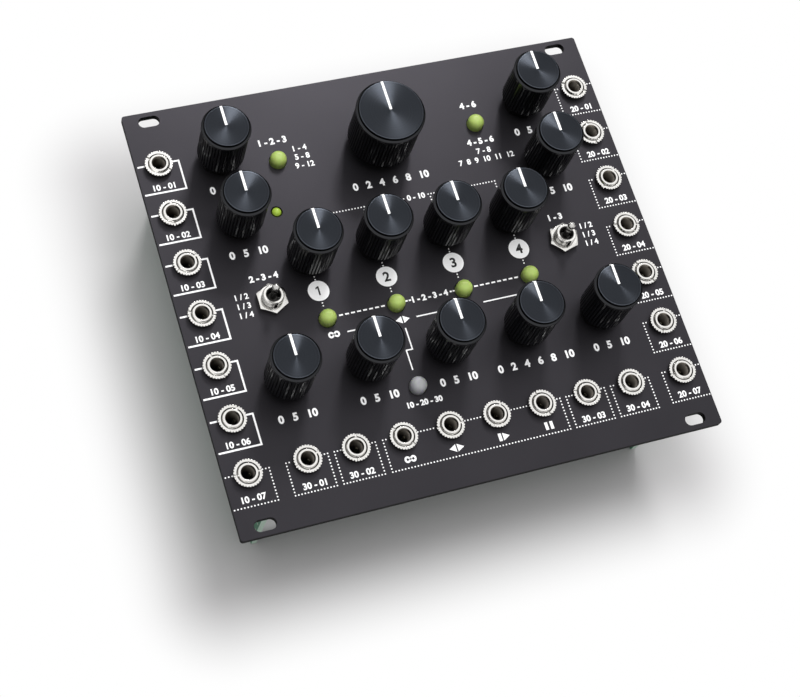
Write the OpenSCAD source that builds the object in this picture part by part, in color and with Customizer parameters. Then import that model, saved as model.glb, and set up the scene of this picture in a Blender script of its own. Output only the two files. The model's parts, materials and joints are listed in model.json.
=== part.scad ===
// Echo module for a standard rack: a front panel with knobs, push buttons, toggle switches and
// patch sockets, a control board behind it and two boards standing at right angles to that.
// Millimetres. X runs right, Y up and Z out of the panel's face. The module stands on the rear
// edges of its two standing boards at Z = 0.

/* [Panel] */
// Width of the front panel
panel_w = 141.9; // [139:0.1:150]
// Height of the front panel
panel_h = 128.5; // [127:0.1:134]
// Thickness of the front panel
panel_t = 2; // [1.5:0.1:3]
// Radius of the panel's corners
panel_corner_r = 0.8; // [0.3:0.1:2]
// From a rack slot's centre to the panel's side edge
slot_inset_x = 7.45; // [6.5:0.05:10]
// From a rack slot's centre to the panel's top or bottom edge
slot_inset_y = 3; // [2.5:0.1:3.5]
// Length of a rack slot from end to end
slot_len = 6.2; // [4.5:0.1:8]
// Width of a rack slot
slot_w = 3.3; // [2.8:0.1:4]

/* [Sockets] */
// From the side columns of sockets to the panel's side edge
socket_edge = 6.5; // [6:0.05:8]
// Sockets in each side column
column_sockets = 7; // [3:1:7]
// From a side column's end sockets, and from the bottom row, to the panel's edge
socket_end = 17.35; // [16:0.05:20]
// Sockets in the bottom row
row_sockets = 8; // [3:1:8]
// From the bottom row's end sockets to the panel's side edge
row_socket_edge = 22.9; // [20:0.05:24]
// Shift of the bottom row of sockets to the right
row_socket_shift = 0.25; // [0:0.05:0.5]
// Radius of a socket's plug hole
plug_r = 1.8; // [1.7:0.01:2]
// Radius of a socket's threaded bushing
socket_bushing_r = 2.88; // [2.6:0.01:3.1]
// Height of a socket's bushing above the panel
socket_bushing_h = 2.1; // [1.9:0.05:3.5]
// Outer radius of a socket's round nut
socket_nut_r = 3.95; // [3.8:0.05:4.4]
// Height of a socket's round nut
socket_nut_h = 1.65; // [1.4:0.05:2.2]
// Serrations around a socket's nut
socket_nut_teeth = 30; // [24:1:40]
// Width of a socket's body across the panel
socket_body_w = 9; // [8:0.1:10]
// Length of a socket's body up the panel
socket_body_l = 10.5; // [9:0.1:11.5]
// Shift of a socket's body up from its plug hole
socket_body_shift = 0.7; // [0:0.1:1]

/* [Rotary controls] */
// Radius of a small knob
knob_r = 6.75; // [6:0.05:8]
// Height of a small knob
knob_h = 16.1; // [14:0.1:19]
// Flutes around a small knob
knob_flutes = 46; // [24:1:60]
// Radius of the main knob
main_knob_r = 9.8; // [8.5:0.05:11]
// Height of the main knob
main_knob_h = 16.5; // [14:0.1:19]
// Flutes around the main knob
main_knob_flutes = 68; // [36:1:80]
// Depth of a flute
flute_depth = 0.32; // [0.15:0.01:0.5]
// Height of the sloped foot under a knob's flutes
knob_foot_h = 0.8; // [0.4:0.1:2]
// Height of a knob's head below its disc
knob_head_h = 1.2; // [1:0.05:2]
// How far a knob's head stands out past its flutes
knob_lip = 0.25; // [0.1:0.05:0.4]
// Width of the slope around a knob's disc
knob_slope = 0.7; // [0.4:0.05:0.8]
// Fall of the slope around a knob's disc
knob_slope_h = 0.4; // [0.2:0.05:0.8]
// Height of the turned disc on a knob's head
knob_disc_h = 0.7; // [0.3:0.05:0.8]
// Width of the pointer groove in a knob's disc
pointer_w = 0.8; // [0.6:0.05:1.4]
// Depth of the pointer groove
pointer_depth = 0.15; // [0.1:0.01:0.25]
// Radius of a control's shaft
shaft_r = 3; // [2.5:0.05:3.1]
// Depth of the flat on a shaft
shaft_flat = 1.5; // [0.8:0.1:1.6]
// Wall of the threaded bushing around a shaft
pot_bushing_wall = 0.5; // [0.4:0.05:0.8]
// Height of a shaft's bushing above the panel
pot_bushing_h = 2.9; // [2.7:0.05:3.5]
// Width of a control's body
pot_w = 9.5; // [9:0.1:11]
// Length of a control's body
pot_l = 10.5; // [9:0.1:12]
// Depth of a control's body
pot_h = 6.8; // [5.5:0.1:8]
// From the side knobs to the panel's side edge
side_knob_edge = 24.05; // [22:0.05:28]
// From the upper side knobs to the panel's top edge
side_knob_top = 18.55; // [16:0.05:21]
// Spacing of the two knobs on each side
side_knob_pitch = 20.5; // [18:0.1:24]
// From the main knob to the panel's top edge
main_knob_top = 23.05; // [18:0.05:28]
// Spacing of the four knobs of the middle row
level_pitch = 20.4; // [18:0.1:21]
// Height of the middle row of knobs over the panel's middle
level_y = 10.2; // [6:0.1:14]
// From the lower row's end knobs to the panel's side edge
lower_edge = 23.95; // [22:0.05:28]
// Height of the lower row of knobs over the panel's bottom edge
lower_rise = 40.25; // [38:0.05:42]

/* [Buttons, toggles and light] */
// From the upper buttons to the panel's top edge
button_top = 22.7; // [20:0.05:26]
// Depth of the middle row of buttons below the panel's middle
button_drop = 8.7; // [7:0.1:10]
// Height of the grey button over the panel's bottom edge
button_rise = 30.6; // [28.5:0.05:31]
// Radius of a button cap
button_r = 2.4; // [2:0.05:3]
// Height of a button cap above the panel
button_h = 3.1; // [2:0.1:4]
// Radius of the rounded edge on a button cap
button_round = 1.8; // [0.6:0.1:1.8]
// How far a button can be pushed
button_travel = 0.8; // [0.4:0.05:1]
// Height of a push switch's housing
switch_h = 5.2; // [4.5:0.1:5.6]
// Width of a push switch's housing
switch_w = 6.2; // [5:0.1:7]
// From the toggle switches to the panel's side edge
toggle_edge = 26.65; // [24:0.05:29]
// Radius of a toggle's bushing
toggle_bushing_r = 3; // [2.9:0.05:3.3]
// Height of a toggle's bushing above the panel
toggle_bushing_h = 4.2; // [3.6:0.1:5]
// Radius of the bore in a toggle's bushing
toggle_bore_r = 1.9; // [1.8:0.05:2.2]
// Width across the flats of a toggle's nut
toggle_nut_af = 8; // [7.6:0.1:9]
// Height of a toggle's nut
toggle_nut_h = 1.8; // [1.4:0.1:2.2]
// Height of a lever's tip above the panel
lever_h = 10; // [8:0.1:12]
// Radius of a lever at its tip
lever_tip_r = 1.15; // [1.05:0.05:1.25]
// From the level light to the panel's top edge
led_top = 38.2; // [36:0.05:41]
// From the level light to the panel's side edge
led_edge = 35.55; // [33:0.05:37]
// Radius of the level light
led_r = 1.5; // [1.2:0.05:1.6]
// Height of the level light above the panel
led_h = 0.8; // [0.6:0.1:2]

/* [Boards] */
// Depth of the whole module behind the panel's face
rear_depth = 40; // [36:0.5:50]
// Gap between the panel and the control board
board_gap = 10; // [9.5:0.1:12]
// Thickness of a circuit board
board_t = 1.6; // [1:0.1:2]
// From the boards' top and bottom edges to the panel's edge
rail_clear = 8.25; // [7:0.05:9]
// From the control board's side edge to the panel's side edge
board_inset = 2.6; // [2:0.1:3]
// From a standing board's outer face to the panel's side edge
side_board_inset = 10; // [9:0.1:14]
// Length of a pin header between two boards
link_len = 25.4; // [20:0.1:30]
// Pins in one row of the power header
power_pins_row = 8; // [5:1:8]

/* [Fits] */
// Running clearance around a shaft
run_fit = 0.05; // [0.03:0.01:0.08]
// Clearance between a thread and its nut
thread_fit = 0.05; // [0.03:0.01:0.1]
// Clearance of a bushing in its panel hole
hole_fit = 0.2; // [0.15:0.01:0.3]
// Clearance between a knob and its shaft
knob_fit = 0.05; // [0.03:0.01:0.08]
// Open gap between two pieces that move past each other
air = 0.3; // [0.3:0.05:0.4]

/* [Hidden] */
$fn = 48;
eps = 0.01;
z_face = rear_depth;
z_back = z_face - panel_t;
z_board = z_back - board_gap;
z_rear = z_board - board_t;
board_half_h = panel_h / 2 - rail_clear;
slot_x = panel_w / 2 - slot_inset_x;
slot_y = panel_h / 2 - slot_inset_y;

// Plug sockets: two side columns and the bottom row
column_x = panel_w / 2 - socket_edge;
socket_pitch_y = (panel_h - 2 * socket_end) / (column_sockets - 1);
socket_pitch_x = (panel_w - 2 * row_socket_edge) / (row_sockets - 1);
socket_floor = 0.6;
socket_seat = 1.5;
socket_chamfer = 0.28;
socket_chamfer_h = 0.5;
socket_mouth_h = 0.8;
socket_tooth = 0.3;
socket_hole_r = socket_bushing_r + hole_fit;
socket_spots = concat(
    [for (side = [-1, 1]) for (i = [0 : column_sockets - 1])
        [side * column_x, (i - (column_sockets - 1) / 2) * socket_pitch_y]],
    [for (i = [0 : row_sockets - 1])
        [(i - (row_sockets - 1) / 2) * socket_pitch_x + row_socket_shift, socket_end - panel_h / 2]]);
terminal_w = 2;
terminal_t = 0.3;
terminal_h = 6;

// Rotary controls: name, place, knob radius, knob height and flutes
side_knob_x = panel_w / 2 - side_knob_edge;
side_knob_high_y = panel_h / 2 - side_knob_top;
side_knob_low_y = side_knob_high_y - side_knob_pitch;
main_knob_y = panel_h / 2 - main_knob_top;
lower_pitch = (panel_w / 2 - lower_edge) / 2;
lower_y = panel_h / 2 - lower_rise;
pots = concat(
    [["main", 0, main_knob_y, main_knob_r, main_knob_h, main_knob_flutes]],
    [for (i = [0 : 3])
        [str("level_", i + 1), (i - 1.5) * level_pitch, level_y, knob_r, knob_h, knob_flutes]],
    [for (i = [0 : 4])
        [str("lower_", i + 1), (i - 2) * lower_pitch, -lower_y, knob_r, knob_h, knob_flutes]],
    [["left_upper", -side_knob_x, side_knob_high_y, knob_r, knob_h, knob_flutes],
     ["left_lower", -side_knob_x, side_knob_low_y, knob_r, knob_h, knob_flutes],
     ["right_upper", side_knob_x, side_knob_high_y, knob_r, knob_h, knob_flutes],
     ["right_lower", side_knob_x, side_knob_low_y, knob_r, knob_h, knob_flutes]]);
pot_bushing_r = shaft_r + run_fit + pot_bushing_wall;
pot_hole_r = pot_bushing_r + hole_fit;
pot_washer_t = 0.5;
pot_washer_r = pot_bushing_r + 1.7;
pot_nut_af = 2 * pot_bushing_r + 2.9;
pot_nut_h = 1.8;
shaft_seat = 4;
knob_foot_in = 0.06;
knob_bevel = 0.06;
knob_bore = 10;

// Push buttons: name and place
buttons = concat(
    [["top_left", -1.5 * level_pitch, panel_h / 2 - button_top],
     ["top_right", 1.5 * level_pitch, panel_h / 2 - button_top]],
    [for (i = [0 : 3]) [str("middle_", i + 1), (i - 1.5) * level_pitch, -button_drop]],
    [["grey", -lower_pitch / 2, button_rise - panel_h / 2]]);
button_hole_r = button_r + hole_fit;
button_flange_r = button_r + 0.6;
button_flange_t = 0.8;
plunger_r = 1.6;
plunger_seat = 2.4;

// Toggle switches: name, side and turn of the nut
toggles = [["left", -1, 0], ["right", 1, -15]];
toggle_x = panel_w / 2 - toggle_edge;
toggle_y = 0.1;
toggle_body_w = 6.9;
toggle_body_l = 12.7;
toggle_hole_r = toggle_bushing_r + hole_fit;
toggle_key_w = 1;
toggle_key_depth = 0.4;
toggle_chamfer = 0.25;
lever_ball_r = toggle_bore_r - run_fit;
lever_pivot_h = lever_ball_r - panel_t + 0.8;
lever_neck_r = lever_tip_r - 0.3;
lever_bat_h = 3.2;
lever_dome_h = 1;
lever_pin_r = 0.45;

led_spot = [led_edge - panel_w / 2, panel_h / 2 - led_top];
led_flange_r = led_r + 0.4;
led_len = 5.3;
led_leg = 0.5;
led_leg_gap = 1.27;

// Standing boards and what sits on them
side_board_x = panel_w / 2 - side_board_inset;
link_t = 2.5;
link_inset = 9.3;
link_y = board_half_h - link_inset - link_len / 2;
power_pitch = 2.54;
power_pin = 0.64;
power_wall = 1.2;
power_len = power_pitch * power_pins_row + 10.2;
power_w = 8.9;
power_h = 9;
power_floor = 2;
power_y = board_half_h - 28;
power_key_w = 4.5;
power_pin_fit = 0.05;
processor_w = 14;
processor_t = 1.4;
chip_l = 5;
chip_w = 4;
chip_t = 1.5;
chip_pitch = 16;
can_r = 3.15;
can_h = 5.8;
can_foot = 6.6;
can_foot_h = 0.8;
can_pitch = 12;
can_row = 16;

// A body turned about Z from half its outline
module turned(outline) {
    rotate_extrude()
        polygon(outline);
}

// A box centred in X and Y that stands on Z = 0
module block(w, l, h) {
    translate([-w / 2, -l / 2, 0])
        cube([w, l, h]);
}

// A plate with rounded corners that stands on Z = 0
module plate(w, l, h, r) {
    block(w - 2 * r, l, h);
    block(w, l - 2 * r, h);
    for (x = [-1, 1], y = [-1, 1])
        translate([x * (w / 2 - r), y * (l / 2 - r), 0])
            cylinder(r = r, h = h);
}

// A slot with round ends, long in X
module slot(len, w, h) {
    block(len - w, w, h);
    for (x = [-1, 1])
        translate([x * (len - w) / 2, 0, 0])
            cylinder(d = w, h = h);
}

// A ring of points with a flat crest and a pointed root for each tooth
function toothed(r, depth, teeth, crest) = [
    for (i = [0 : teeth - 1], k = [-crest, crest, 0.5])
        let (a = (i + k) * 360 / teeth, q = k == 0.5 ? r - depth : r)
            [q * cos(a), q * sin(a)]];

// A hexagon nut with a chamfered top, corners on Y
module hex_nut(af, h, bore_r) {
    corner_r = af / sqrt(3);
    difference() {
        intersection() {
            rotate([0, 0, 30])
                cylinder(r = corner_r, h = h, $fn = 6);
            turned([[0, 0], [corner_r + eps, 0], [corner_r + eps, h - 0.35], [af / 2 - 0.15, h], [0, h]]);
        }
        translate([0, 0, -eps])
            cylinder(r = bore_r, h = h + 2 * eps);
    }
}

// Front panel with its slots and control holes
module front_panel() {
    color([0.22, 0.22, 0.24])
        difference() {
            translate([0, 0, z_back])
                plate(panel_w, panel_h, panel_t, panel_corner_r);
            translate([0, 0, z_back - 1]) {
                for (x = [-1, 1], y = [-1, 1])
                    translate([x * slot_x, y * slot_y, 0])
                        slot(slot_len, slot_w, panel_t + 2);
                for (s = socket_spots)
                    translate([s[0], s[1], 0])
                        cylinder(r = socket_hole_r, h = panel_t + 2);
                for (p = pots)
                    translate([p[1], p[2], 0])
                        cylinder(r = pot_hole_r, h = panel_t + 2);
                for (b = buttons)
                    translate([b[1], b[2], 0])
                        cylinder(r = button_hole_r, h = panel_t + 2);
                for (t = toggles)
                    translate([t[1] * toggle_x, toggle_y, 0])
                        cylinder(r = toggle_hole_r, h = panel_t + 2);
                translate([led_spot[0], led_spot[1], 0])
                    cylinder(r = led_r + hole_fit, h = panel_t + 2);
            }
        }
}

// Moulded socket bodies between the panel and the control board
module socket_bodies() {
    color([0.1, 0.1, 0.11])
        for (s = socket_spots)
            translate([s[0], s[1], z_board])
                difference() {
                    translate([0, socket_body_shift, 0])
                        block(socket_body_w, socket_body_l, board_gap);
                    translate([0, 0, socket_floor])
                        cylinder(r = plug_r, h = board_gap);
                    translate([0, 0, board_gap - socket_seat])
                        cylinder(r = socket_bushing_r + thread_fit, h = board_gap);
                }
}

// Flat terminals down the upper side of the socket bodies
module socket_terminals() {
    color([0.75, 0.72, 0.62])
        for (s = socket_spots)
            translate([s[0], s[1] + socket_body_shift + (socket_body_l + terminal_t) / 2, z_board])
                block(terminal_w, terminal_t, terminal_h);
}

// Threaded socket bushings standing through the panel
module socket_bushings() {
    foot = -panel_t - socket_seat;
    top = socket_bushing_h;
    color([0.72, 0.7, 0.66])
        for (s = socket_spots)
            translate([s[0], s[1], z_face])
                turned([
                    [plug_r, foot],
                    [socket_bushing_r, foot],
                    [socket_bushing_r, top - socket_chamfer_h],
                    [socket_bushing_r - socket_chamfer, top],
                    [plug_r + socket_chamfer, top],
                    [plug_r, top - socket_mouth_h]]);
}

// Round serrated nuts with two wrench notches
module socket_nuts() {
    bore_r = socket_bushing_r + thread_fit;
    mouth_r = bore_r + 0.2;
    color([0.72, 0.7, 0.66])
        for (i = [0 : len(socket_spots) - 1])
            translate([socket_spots[i][0], socket_spots[i][1], z_face])
                difference() {
                    linear_extrude(socket_nut_h)
                        polygon(toothed(socket_nut_r, socket_tooth, socket_nut_teeth, 0.2));
                    turned([[0, -1], [bore_r, -1], [bore_r, socket_nut_h - 0.4],
                        [mouth_r, socket_nut_h], [mouth_r, socket_nut_h + 1],
                        [0, socket_nut_h + 1]]);
                    rotate([0, 0, i * 53])
                        translate([0, 0, socket_nut_h - 0.45])
                            block(2 * socket_nut_r + 1, 0.6, 1);
                }
}

// Rotary control bodies that stand on the control board by two side lugs
module pot_bodies() {
    color([0.14, 0.2, 0.16])
        for (p = pots)
            translate([p[1], p[2], z_back])
                difference() {
                    union() {
                        translate([0, 0, -pot_h])
                            block(pot_w, pot_l, pot_h);
                        for (x = [-1, 1])
                            translate([x * (pot_w / 2 - 0.5), 0, -board_gap])
                                block(1, 3, board_gap - pot_h + 1);
                    }
                    translate([0, 0, -shaft_seat - air])
                        cylinder(r = shaft_r + run_fit, h = shaft_seat + air + eps);
                }
}

// Threaded bushings around the shafts
module pot_bushings() {
    color([0.7, 0.68, 0.62])
        for (p = pots)
            translate([p[1], p[2], z_face])
                turned([
                    [shaft_r + run_fit, -panel_t],
                    [pot_bushing_r, -panel_t],
                    [pot_bushing_r, pot_bushing_h - 0.2],
                    [pot_bushing_r - 0.2, pot_bushing_h],
                    [shaft_r + run_fit, pot_bushing_h]]);
}

// Washers on the panel under the control nuts
module pot_washers() {
    color([0.7, 0.7, 0.7])
        for (p = pots)
            translate([p[1], p[2], z_face])
                difference() {
                    cylinder(r = pot_washer_r, h = pot_washer_t);
                    translate([0, 0, -eps])
                        cylinder(r = pot_bushing_r + thread_fit, h = pot_washer_t + 2 * eps);
                }
}

// Hexagon nuts of the rotary controls
module pot_nuts() {
    color([0.7, 0.7, 0.7])
        for (p = pots)
            translate([p[1], p[2], z_face + pot_washer_t])
                hex_nut(pot_nut_af, pot_nut_h, pot_bushing_r + thread_fit);
}

// A fluted knob with a turned disc, a pointer groove and a bore with a flat
module knob(p) {
    r = p[3];
    root_r = r - flute_depth;
    lip_r = r + knob_lip;
    disc_r = lip_r - knob_slope;
    flute_h = p[4] - knob_foot_h - knob_head_h - knob_disc_h;
    head_h = knob_head_h + knob_disc_h;
    color([0.1, 0.1, 0.12])
        translate([p[1], p[2], z_face + pot_bushing_h + air])
            difference() {
                union() {
                    turned([[0, 0], [root_r - knob_foot_in * r, 0], [root_r - 0.06, knob_foot_h],
                        [0, knob_foot_h]]);
                    translate([0, 0, knob_foot_h])
                        linear_extrude(flute_h)
                            polygon(toothed(r, flute_depth, p[5], 0.24));
                    translate([0, 0, knob_foot_h + flute_h])
                        turned([[0, 0], [lip_r, 0], [lip_r, knob_head_h - knob_slope_h],
                            [disc_r, knob_head_h], [disc_r, head_h - knob_bevel],
                            [disc_r - knob_bevel, head_h], [0, head_h]]);
                }
                shaft_outline(shaft_r + knob_fit, shaft_r - shaft_flat + knob_fit, knob_bore);
                translate([-pointer_w / 2, 0.3, p[4] - pointer_depth])
                    cube([pointer_w, lip_r, 1]);
            }
}

// A round bar with a flat on its upper side
module shaft_outline(r, flat_y, h) {
    translate([0, 0, -eps])
        intersection() {
            cylinder(r = r, h = h + eps);
            translate([-2 * r, flat_y - 4 * r, -1])
                cube([4 * r, 4 * r, h + 2]);
        }
}

// A control shaft, round in its bushing and flat inside the knob
module shaft(p) {
    round_len = shaft_seat + panel_t + pot_bushing_h;
    color([0.72, 0.7, 0.66])
        translate([p[1], p[2], z_face + pot_bushing_h]) {
            translate([0, 0, -round_len])
                cylinder(r = shaft_r, h = round_len);
            shaft_outline(shaft_r, shaft_r - shaft_flat, knob_bore);
        }
}

// Push switch housings on the control board
module switch_housings() {
    color([0.12, 0.12, 0.13])
        for (b = buttons)
            translate([b[1], b[2], z_board])
                difference() {
                    block(switch_w, switch_w, switch_h);
                    translate([0, 0, switch_h - plunger_seat - button_travel - air])
                        cylinder(r = plunger_r + run_fit, h = switch_h);
                }
}

// A button cap with a rounded edge, a flange behind the panel and a plunger in its switch
module button(b) {
    top = panel_t + air;
    reach = board_gap - switch_h + plunger_seat;
    color(b[0] == "grey" ? [0.6, 0.6, 0.62] : [0.66, 0.76, 0.36])
        translate([b[1], b[2], z_face]) {
            turned(concat(
                [[0, -top - eps], [button_r, -top - eps]],
                [for (a = [0 : 10 : 90])
                    [button_r - button_round * (1 - cos(a)), button_h - button_round * (1 - sin(a))]],
                [[0, button_h]]));
            translate([0, 0, -top - button_flange_t])
                cylinder(r = button_flange_r, h = button_flange_t);
            translate([0, 0, -panel_t - reach])
                cylinder(r = plunger_r, h = reach - air - button_flange_t / 2);
        }
}

// Toggle switch bodies between the panel and the control board
module toggle_bodies() {
    color([0.5, 0.12, 0.1])
        for (t = toggles)
            translate([t[1] * toggle_x, toggle_y, z_board])
                block(toggle_body_w, toggle_body_l, board_gap);
}

// Threaded toggle bushings with a keyway and a hole for the lever's pin
module toggle_bushings() {
    lip = toggle_chamfer;
    color([0.72, 0.7, 0.66])
        for (t = toggles)
            translate([t[1] * toggle_x, toggle_y, z_face])
                difference() {
                    turned([
                        [toggle_bore_r, -panel_t],
                        [toggle_bushing_r, -panel_t],
                        [toggle_bushing_r, toggle_bushing_h - lip],
                        [toggle_bushing_r - lip, toggle_bushing_h],
                        [toggle_bore_r + lip / 2, toggle_bushing_h],
                        [toggle_bore_r, toggle_bushing_h - lip / 2]]);
                    translate([0, -toggle_bushing_r, -panel_t - 1])
                        block(toggle_key_w, 2 * toggle_key_depth, panel_t + toggle_bushing_h + 2);
                    translate([0, 0, lever_pivot_h])
                        rotate([0, 90, 0])
                            cylinder(r = lever_pin_r + run_fit, h = 4 * toggle_bushing_r, center = true);
                }
}

// Hexagon nuts of the toggle switches, each left at its own turn
module toggle_nuts() {
    color([0.72, 0.7, 0.66])
        for (t = toggles)
            translate([t[1] * toggle_x, toggle_y, z_face])
                rotate([0, 0, t[2]])
                    hex_nut(toggle_nut_af, toggle_nut_h, toggle_bushing_r + thread_fit);
}

// A bat lever with a domed tip, on a ball with a cross pin
module lever(t) {
    rise = lever_h - lever_pivot_h;
    color([0.75, 0.73, 0.7])
        translate([t[1] * toggle_x, toggle_y, z_face + lever_pivot_h]) {
            sphere(r = lever_ball_r);
            rotate([0, 90, 0])
                cylinder(r = lever_pin_r, h = 2 * toggle_bushing_r - 0.4, center = true);
            turned(concat(
                [[0, 0], [lever_neck_r, 0], [lever_neck_r, rise - lever_bat_h]],
                [for (a = [0 : 15 : 75])
                    [lever_tip_r * cos(a), rise - lever_dome_h * (1 - sin(a))]],
                [[0, rise]]));
        }
}

// Level light standing on the control board by two legs
module level_light() {
    foot = led_h - led_len;
    color([0.4, 0.9, 0.3])
        translate([led_spot[0], led_spot[1], z_face]) {
            translate([0, 0, led_h - led_r])
                sphere(r = led_r);
            translate([0, 0, foot])
                cylinder(r = led_r, h = led_len - led_r);
            translate([0, 0, foot])
                cylinder(r = led_flange_r, h = 1);
            for (x = [-1, 1])
                translate([x * led_leg_gap, 0, -panel_t - board_gap])
                    block(led_leg, led_leg, panel_t + board_gap + foot + 0.5);
        }
}

// Control board behind the panel
module control_board() {
    color([0.05, 0.3, 0.16])
        translate([0, 0, z_rear])
            plate(panel_w - 2 * board_inset, 2 * board_half_h, board_t, 1);
}

// A board standing at right angles behind the control board
module side_board(side) {
    color([0.05, 0.3, 0.16])
        translate([side * (side_board_x - board_t / 2), 0, 0])
            block(board_t, 2 * board_half_h, z_rear);
}

// Pin headers in the corners between the control board and the standing boards
module board_links() {
    color([0.08, 0.08, 0.08])
        for (x = [-1, 1], y = [-1, 1])
            translate([x * (side_board_x - board_t - link_t / 2), y * link_y, z_rear - link_t])
                block(link_t, link_len, link_t);
}

// Pin places of the power header
function power_spots() = [
    for (i = [0 : power_pins_row - 1], r = [-0.5, 0.5])
        [(i - (power_pins_row - 1) / 2) * power_pitch, power_y + r * power_pitch]];

// Keyed shroud of the power header on the rear of the control board
module power_header() {
    color([0.09, 0.09, 0.09])
        difference() {
            translate([0, power_y, z_rear - power_h])
                block(power_len, power_w, power_h);
            translate([0, power_y, z_rear - power_h - 1])
                block(power_len - 2 * power_wall, power_w - 2 * power_wall, power_h - power_floor + 1);
            translate([0, power_y - power_w / 2, z_rear - power_h - 1])
                block(power_key_w, 3 * power_wall, power_h - power_floor + 1);
            for (s = power_spots())
                translate([s[0], s[1], z_rear - power_h])
                    block(power_pin + 2 * power_pin_fit, power_pin + 2 * power_pin_fit, power_h + 1);
        }
}

// Square pins of the power header
module power_pins() {
    color([0.8, 0.7, 0.4])
        for (s = power_spots())
            translate([s[0], s[1], z_rear - power_h + 1.2])
                block(power_pin, power_pin, power_h - 1.2);
}

// Processor on the left standing board's inner face
module processor() {
    color([0.07, 0.07, 0.08])
        translate([board_t + processor_t / 2 - side_board_x, 0, (z_rear - processor_w) / 2])
            block(processor_t, processor_w, processor_w);
}

// Small chips on the right standing board's inner face
module audio_chips() {
    color([0.07, 0.07, 0.08])
        for (i = [-2 : 2], z = [0.3, 0.62])
            translate([side_board_x - board_t - chip_t / 2, i * chip_pitch, z * z_rear - chip_w / 2])
                block(chip_t, chip_l, chip_w);
}

// Electrolytic capacitors on the rear of the control board
module capacitors() {
    color([0.7, 0.71, 0.73])
        for (i = [-1.5 : 1.5])
            translate([i * can_pitch, power_y - can_row, 0]) {
                translate([0, 0, z_rear - can_h])
                    cylinder(r = can_r, h = can_h);
                translate([0, 0, z_rear - can_foot_h])
                    block(can_foot, can_foot, can_foot_h);
            }
}

front_panel();
socket_bodies();
socket_terminals();
socket_bushings();
socket_nuts();
pot_bodies();
pot_bushings();
pot_washers();
pot_nuts();
switch_housings();
toggle_bodies();
toggle_bushings();
toggle_nuts();
level_light();
control_board();
side_board(-1);  // left_board
side_board(1);  // right_board
board_links();
power_header();
power_pins();
processor();
audio_chips();
capacitors();
for (p = pots)
    knob(p);
for (p = pots)
    shaft(p);
for (b = buttons)
    button(b);
for (t = toggles)
    lever(t);
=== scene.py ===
"""Looks of a rack echo module: paint, print, metal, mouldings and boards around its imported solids."""

import json
import math
import random

import bpy
from bpy.props import FloatProperty, FloatVectorProperty, IntProperty, PointerProperty
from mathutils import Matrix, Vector


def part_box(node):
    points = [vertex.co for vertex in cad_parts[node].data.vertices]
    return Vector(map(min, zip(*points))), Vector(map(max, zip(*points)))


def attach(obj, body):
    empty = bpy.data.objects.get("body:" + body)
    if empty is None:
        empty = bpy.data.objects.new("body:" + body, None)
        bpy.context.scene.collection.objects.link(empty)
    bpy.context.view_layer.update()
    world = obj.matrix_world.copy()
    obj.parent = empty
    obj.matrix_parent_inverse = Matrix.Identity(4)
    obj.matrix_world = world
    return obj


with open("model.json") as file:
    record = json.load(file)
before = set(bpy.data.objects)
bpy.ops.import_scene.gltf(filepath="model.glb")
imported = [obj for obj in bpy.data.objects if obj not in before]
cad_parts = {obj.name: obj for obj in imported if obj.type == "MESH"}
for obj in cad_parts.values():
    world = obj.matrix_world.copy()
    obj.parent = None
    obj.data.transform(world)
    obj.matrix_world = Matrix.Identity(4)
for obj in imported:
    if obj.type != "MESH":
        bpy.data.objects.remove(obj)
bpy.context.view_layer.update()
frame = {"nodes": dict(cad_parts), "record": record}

bl_info = {
    "name": "Echo module looks",
    "version": (1, 0, 0),
    "blender": (4, 5, 0),
    "location": "3D View > Sidebar > Echo module",
    "description": "Paint, print, metal, mouldings and boards of a rack echo module",
    "category": "Object",
}

MM = 0.001
TURN = 2 * math.pi
NODES = frame["nodes"]
FIXED = "module"
PANEL_LOW, PANEL_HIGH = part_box("front_panel")
FACE = PANEL_HIGH.z / MM
BOARD_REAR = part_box("control_board")[0].z / MM
KNOBS = sorted(n[len("knob_"):] for n in NODES if n.startswith("knob_"))
BUTTONS = sorted(n[len("button_"):] for n in NODES if n.startswith("button_"))
TOGGLES = ("left", "right")
SOCKETS = {m["name"]: (m["pos_m"][0] / MM, m["pos_m"][1] / MM)
           for m in frame["record"]["mounts"] if m["name"].startswith("socket_")}
LEFT_SOCKETS = [SOCKETS["socket_left_%d" % i] for i in range(7, 0, -1)]
RIGHT_SOCKETS = [SOCKETS["socket_right_%d" % i] for i in range(7, 0, -1)]

# Lines and boxes of the print, in millimetres from the panel's middle
LINE_LEFT, LINE_RIGHT = -70.4, 70.45
LEFT_BOX_EDGE, RIGHT_BOX_EDGE = -58.45, 58.85
LEFT_TICK, RIGHT_TICK = 0.6, 0.95
BOX_DROP = 8.35
LAST_BOX_EDGE = LEFT_BOX_EDGE + 0.15
ROW_TICK, ROW_FLOOR = -46.3, -55.6
LAST_BOX_TICK = ROW_TICK - 0.1
ROW_BOXES = ((-53.55, -41.8), (-39.9, -28.15), (-26.0, 26.8), (28.7, 40.5), (42.5, 54.3))
LINE_CLEAR, DOT_CLEAR = 3.92, 4.05
LEVEL_ROW, LEVEL_DROP = 22.35, 1.85
LEVEL_GAP = (1.9, 9.5)
DISC_COLUMNS = (-30.6, -10.35, 9.95, 30.4)
COLUMN_RUNS = ((5.3, 3.45), (-3.75, -4.65))
DASH_ROW = -8.43
DASH_SHARE = 0.9
DASH_RUNS = ((-27.1, -13.5), (13.6, 27.2))
SHORT_DASHES = ((-7.35, -6.65), (-6.3, -5.65), (6.1, 6.7), (7.0, 7.65))
SIGN_ROW = -13.6
SIGN_RUNS = ((-26.2, -13.6), (-5.65, 6.0), (14.7, 26.3))
STEP_PATH = ((-9.8, -16.2), (-9.8, -22.7), (-11.6, -22.7), (-11.6, -28.7))
INK_ROOT = 0.01

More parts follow.
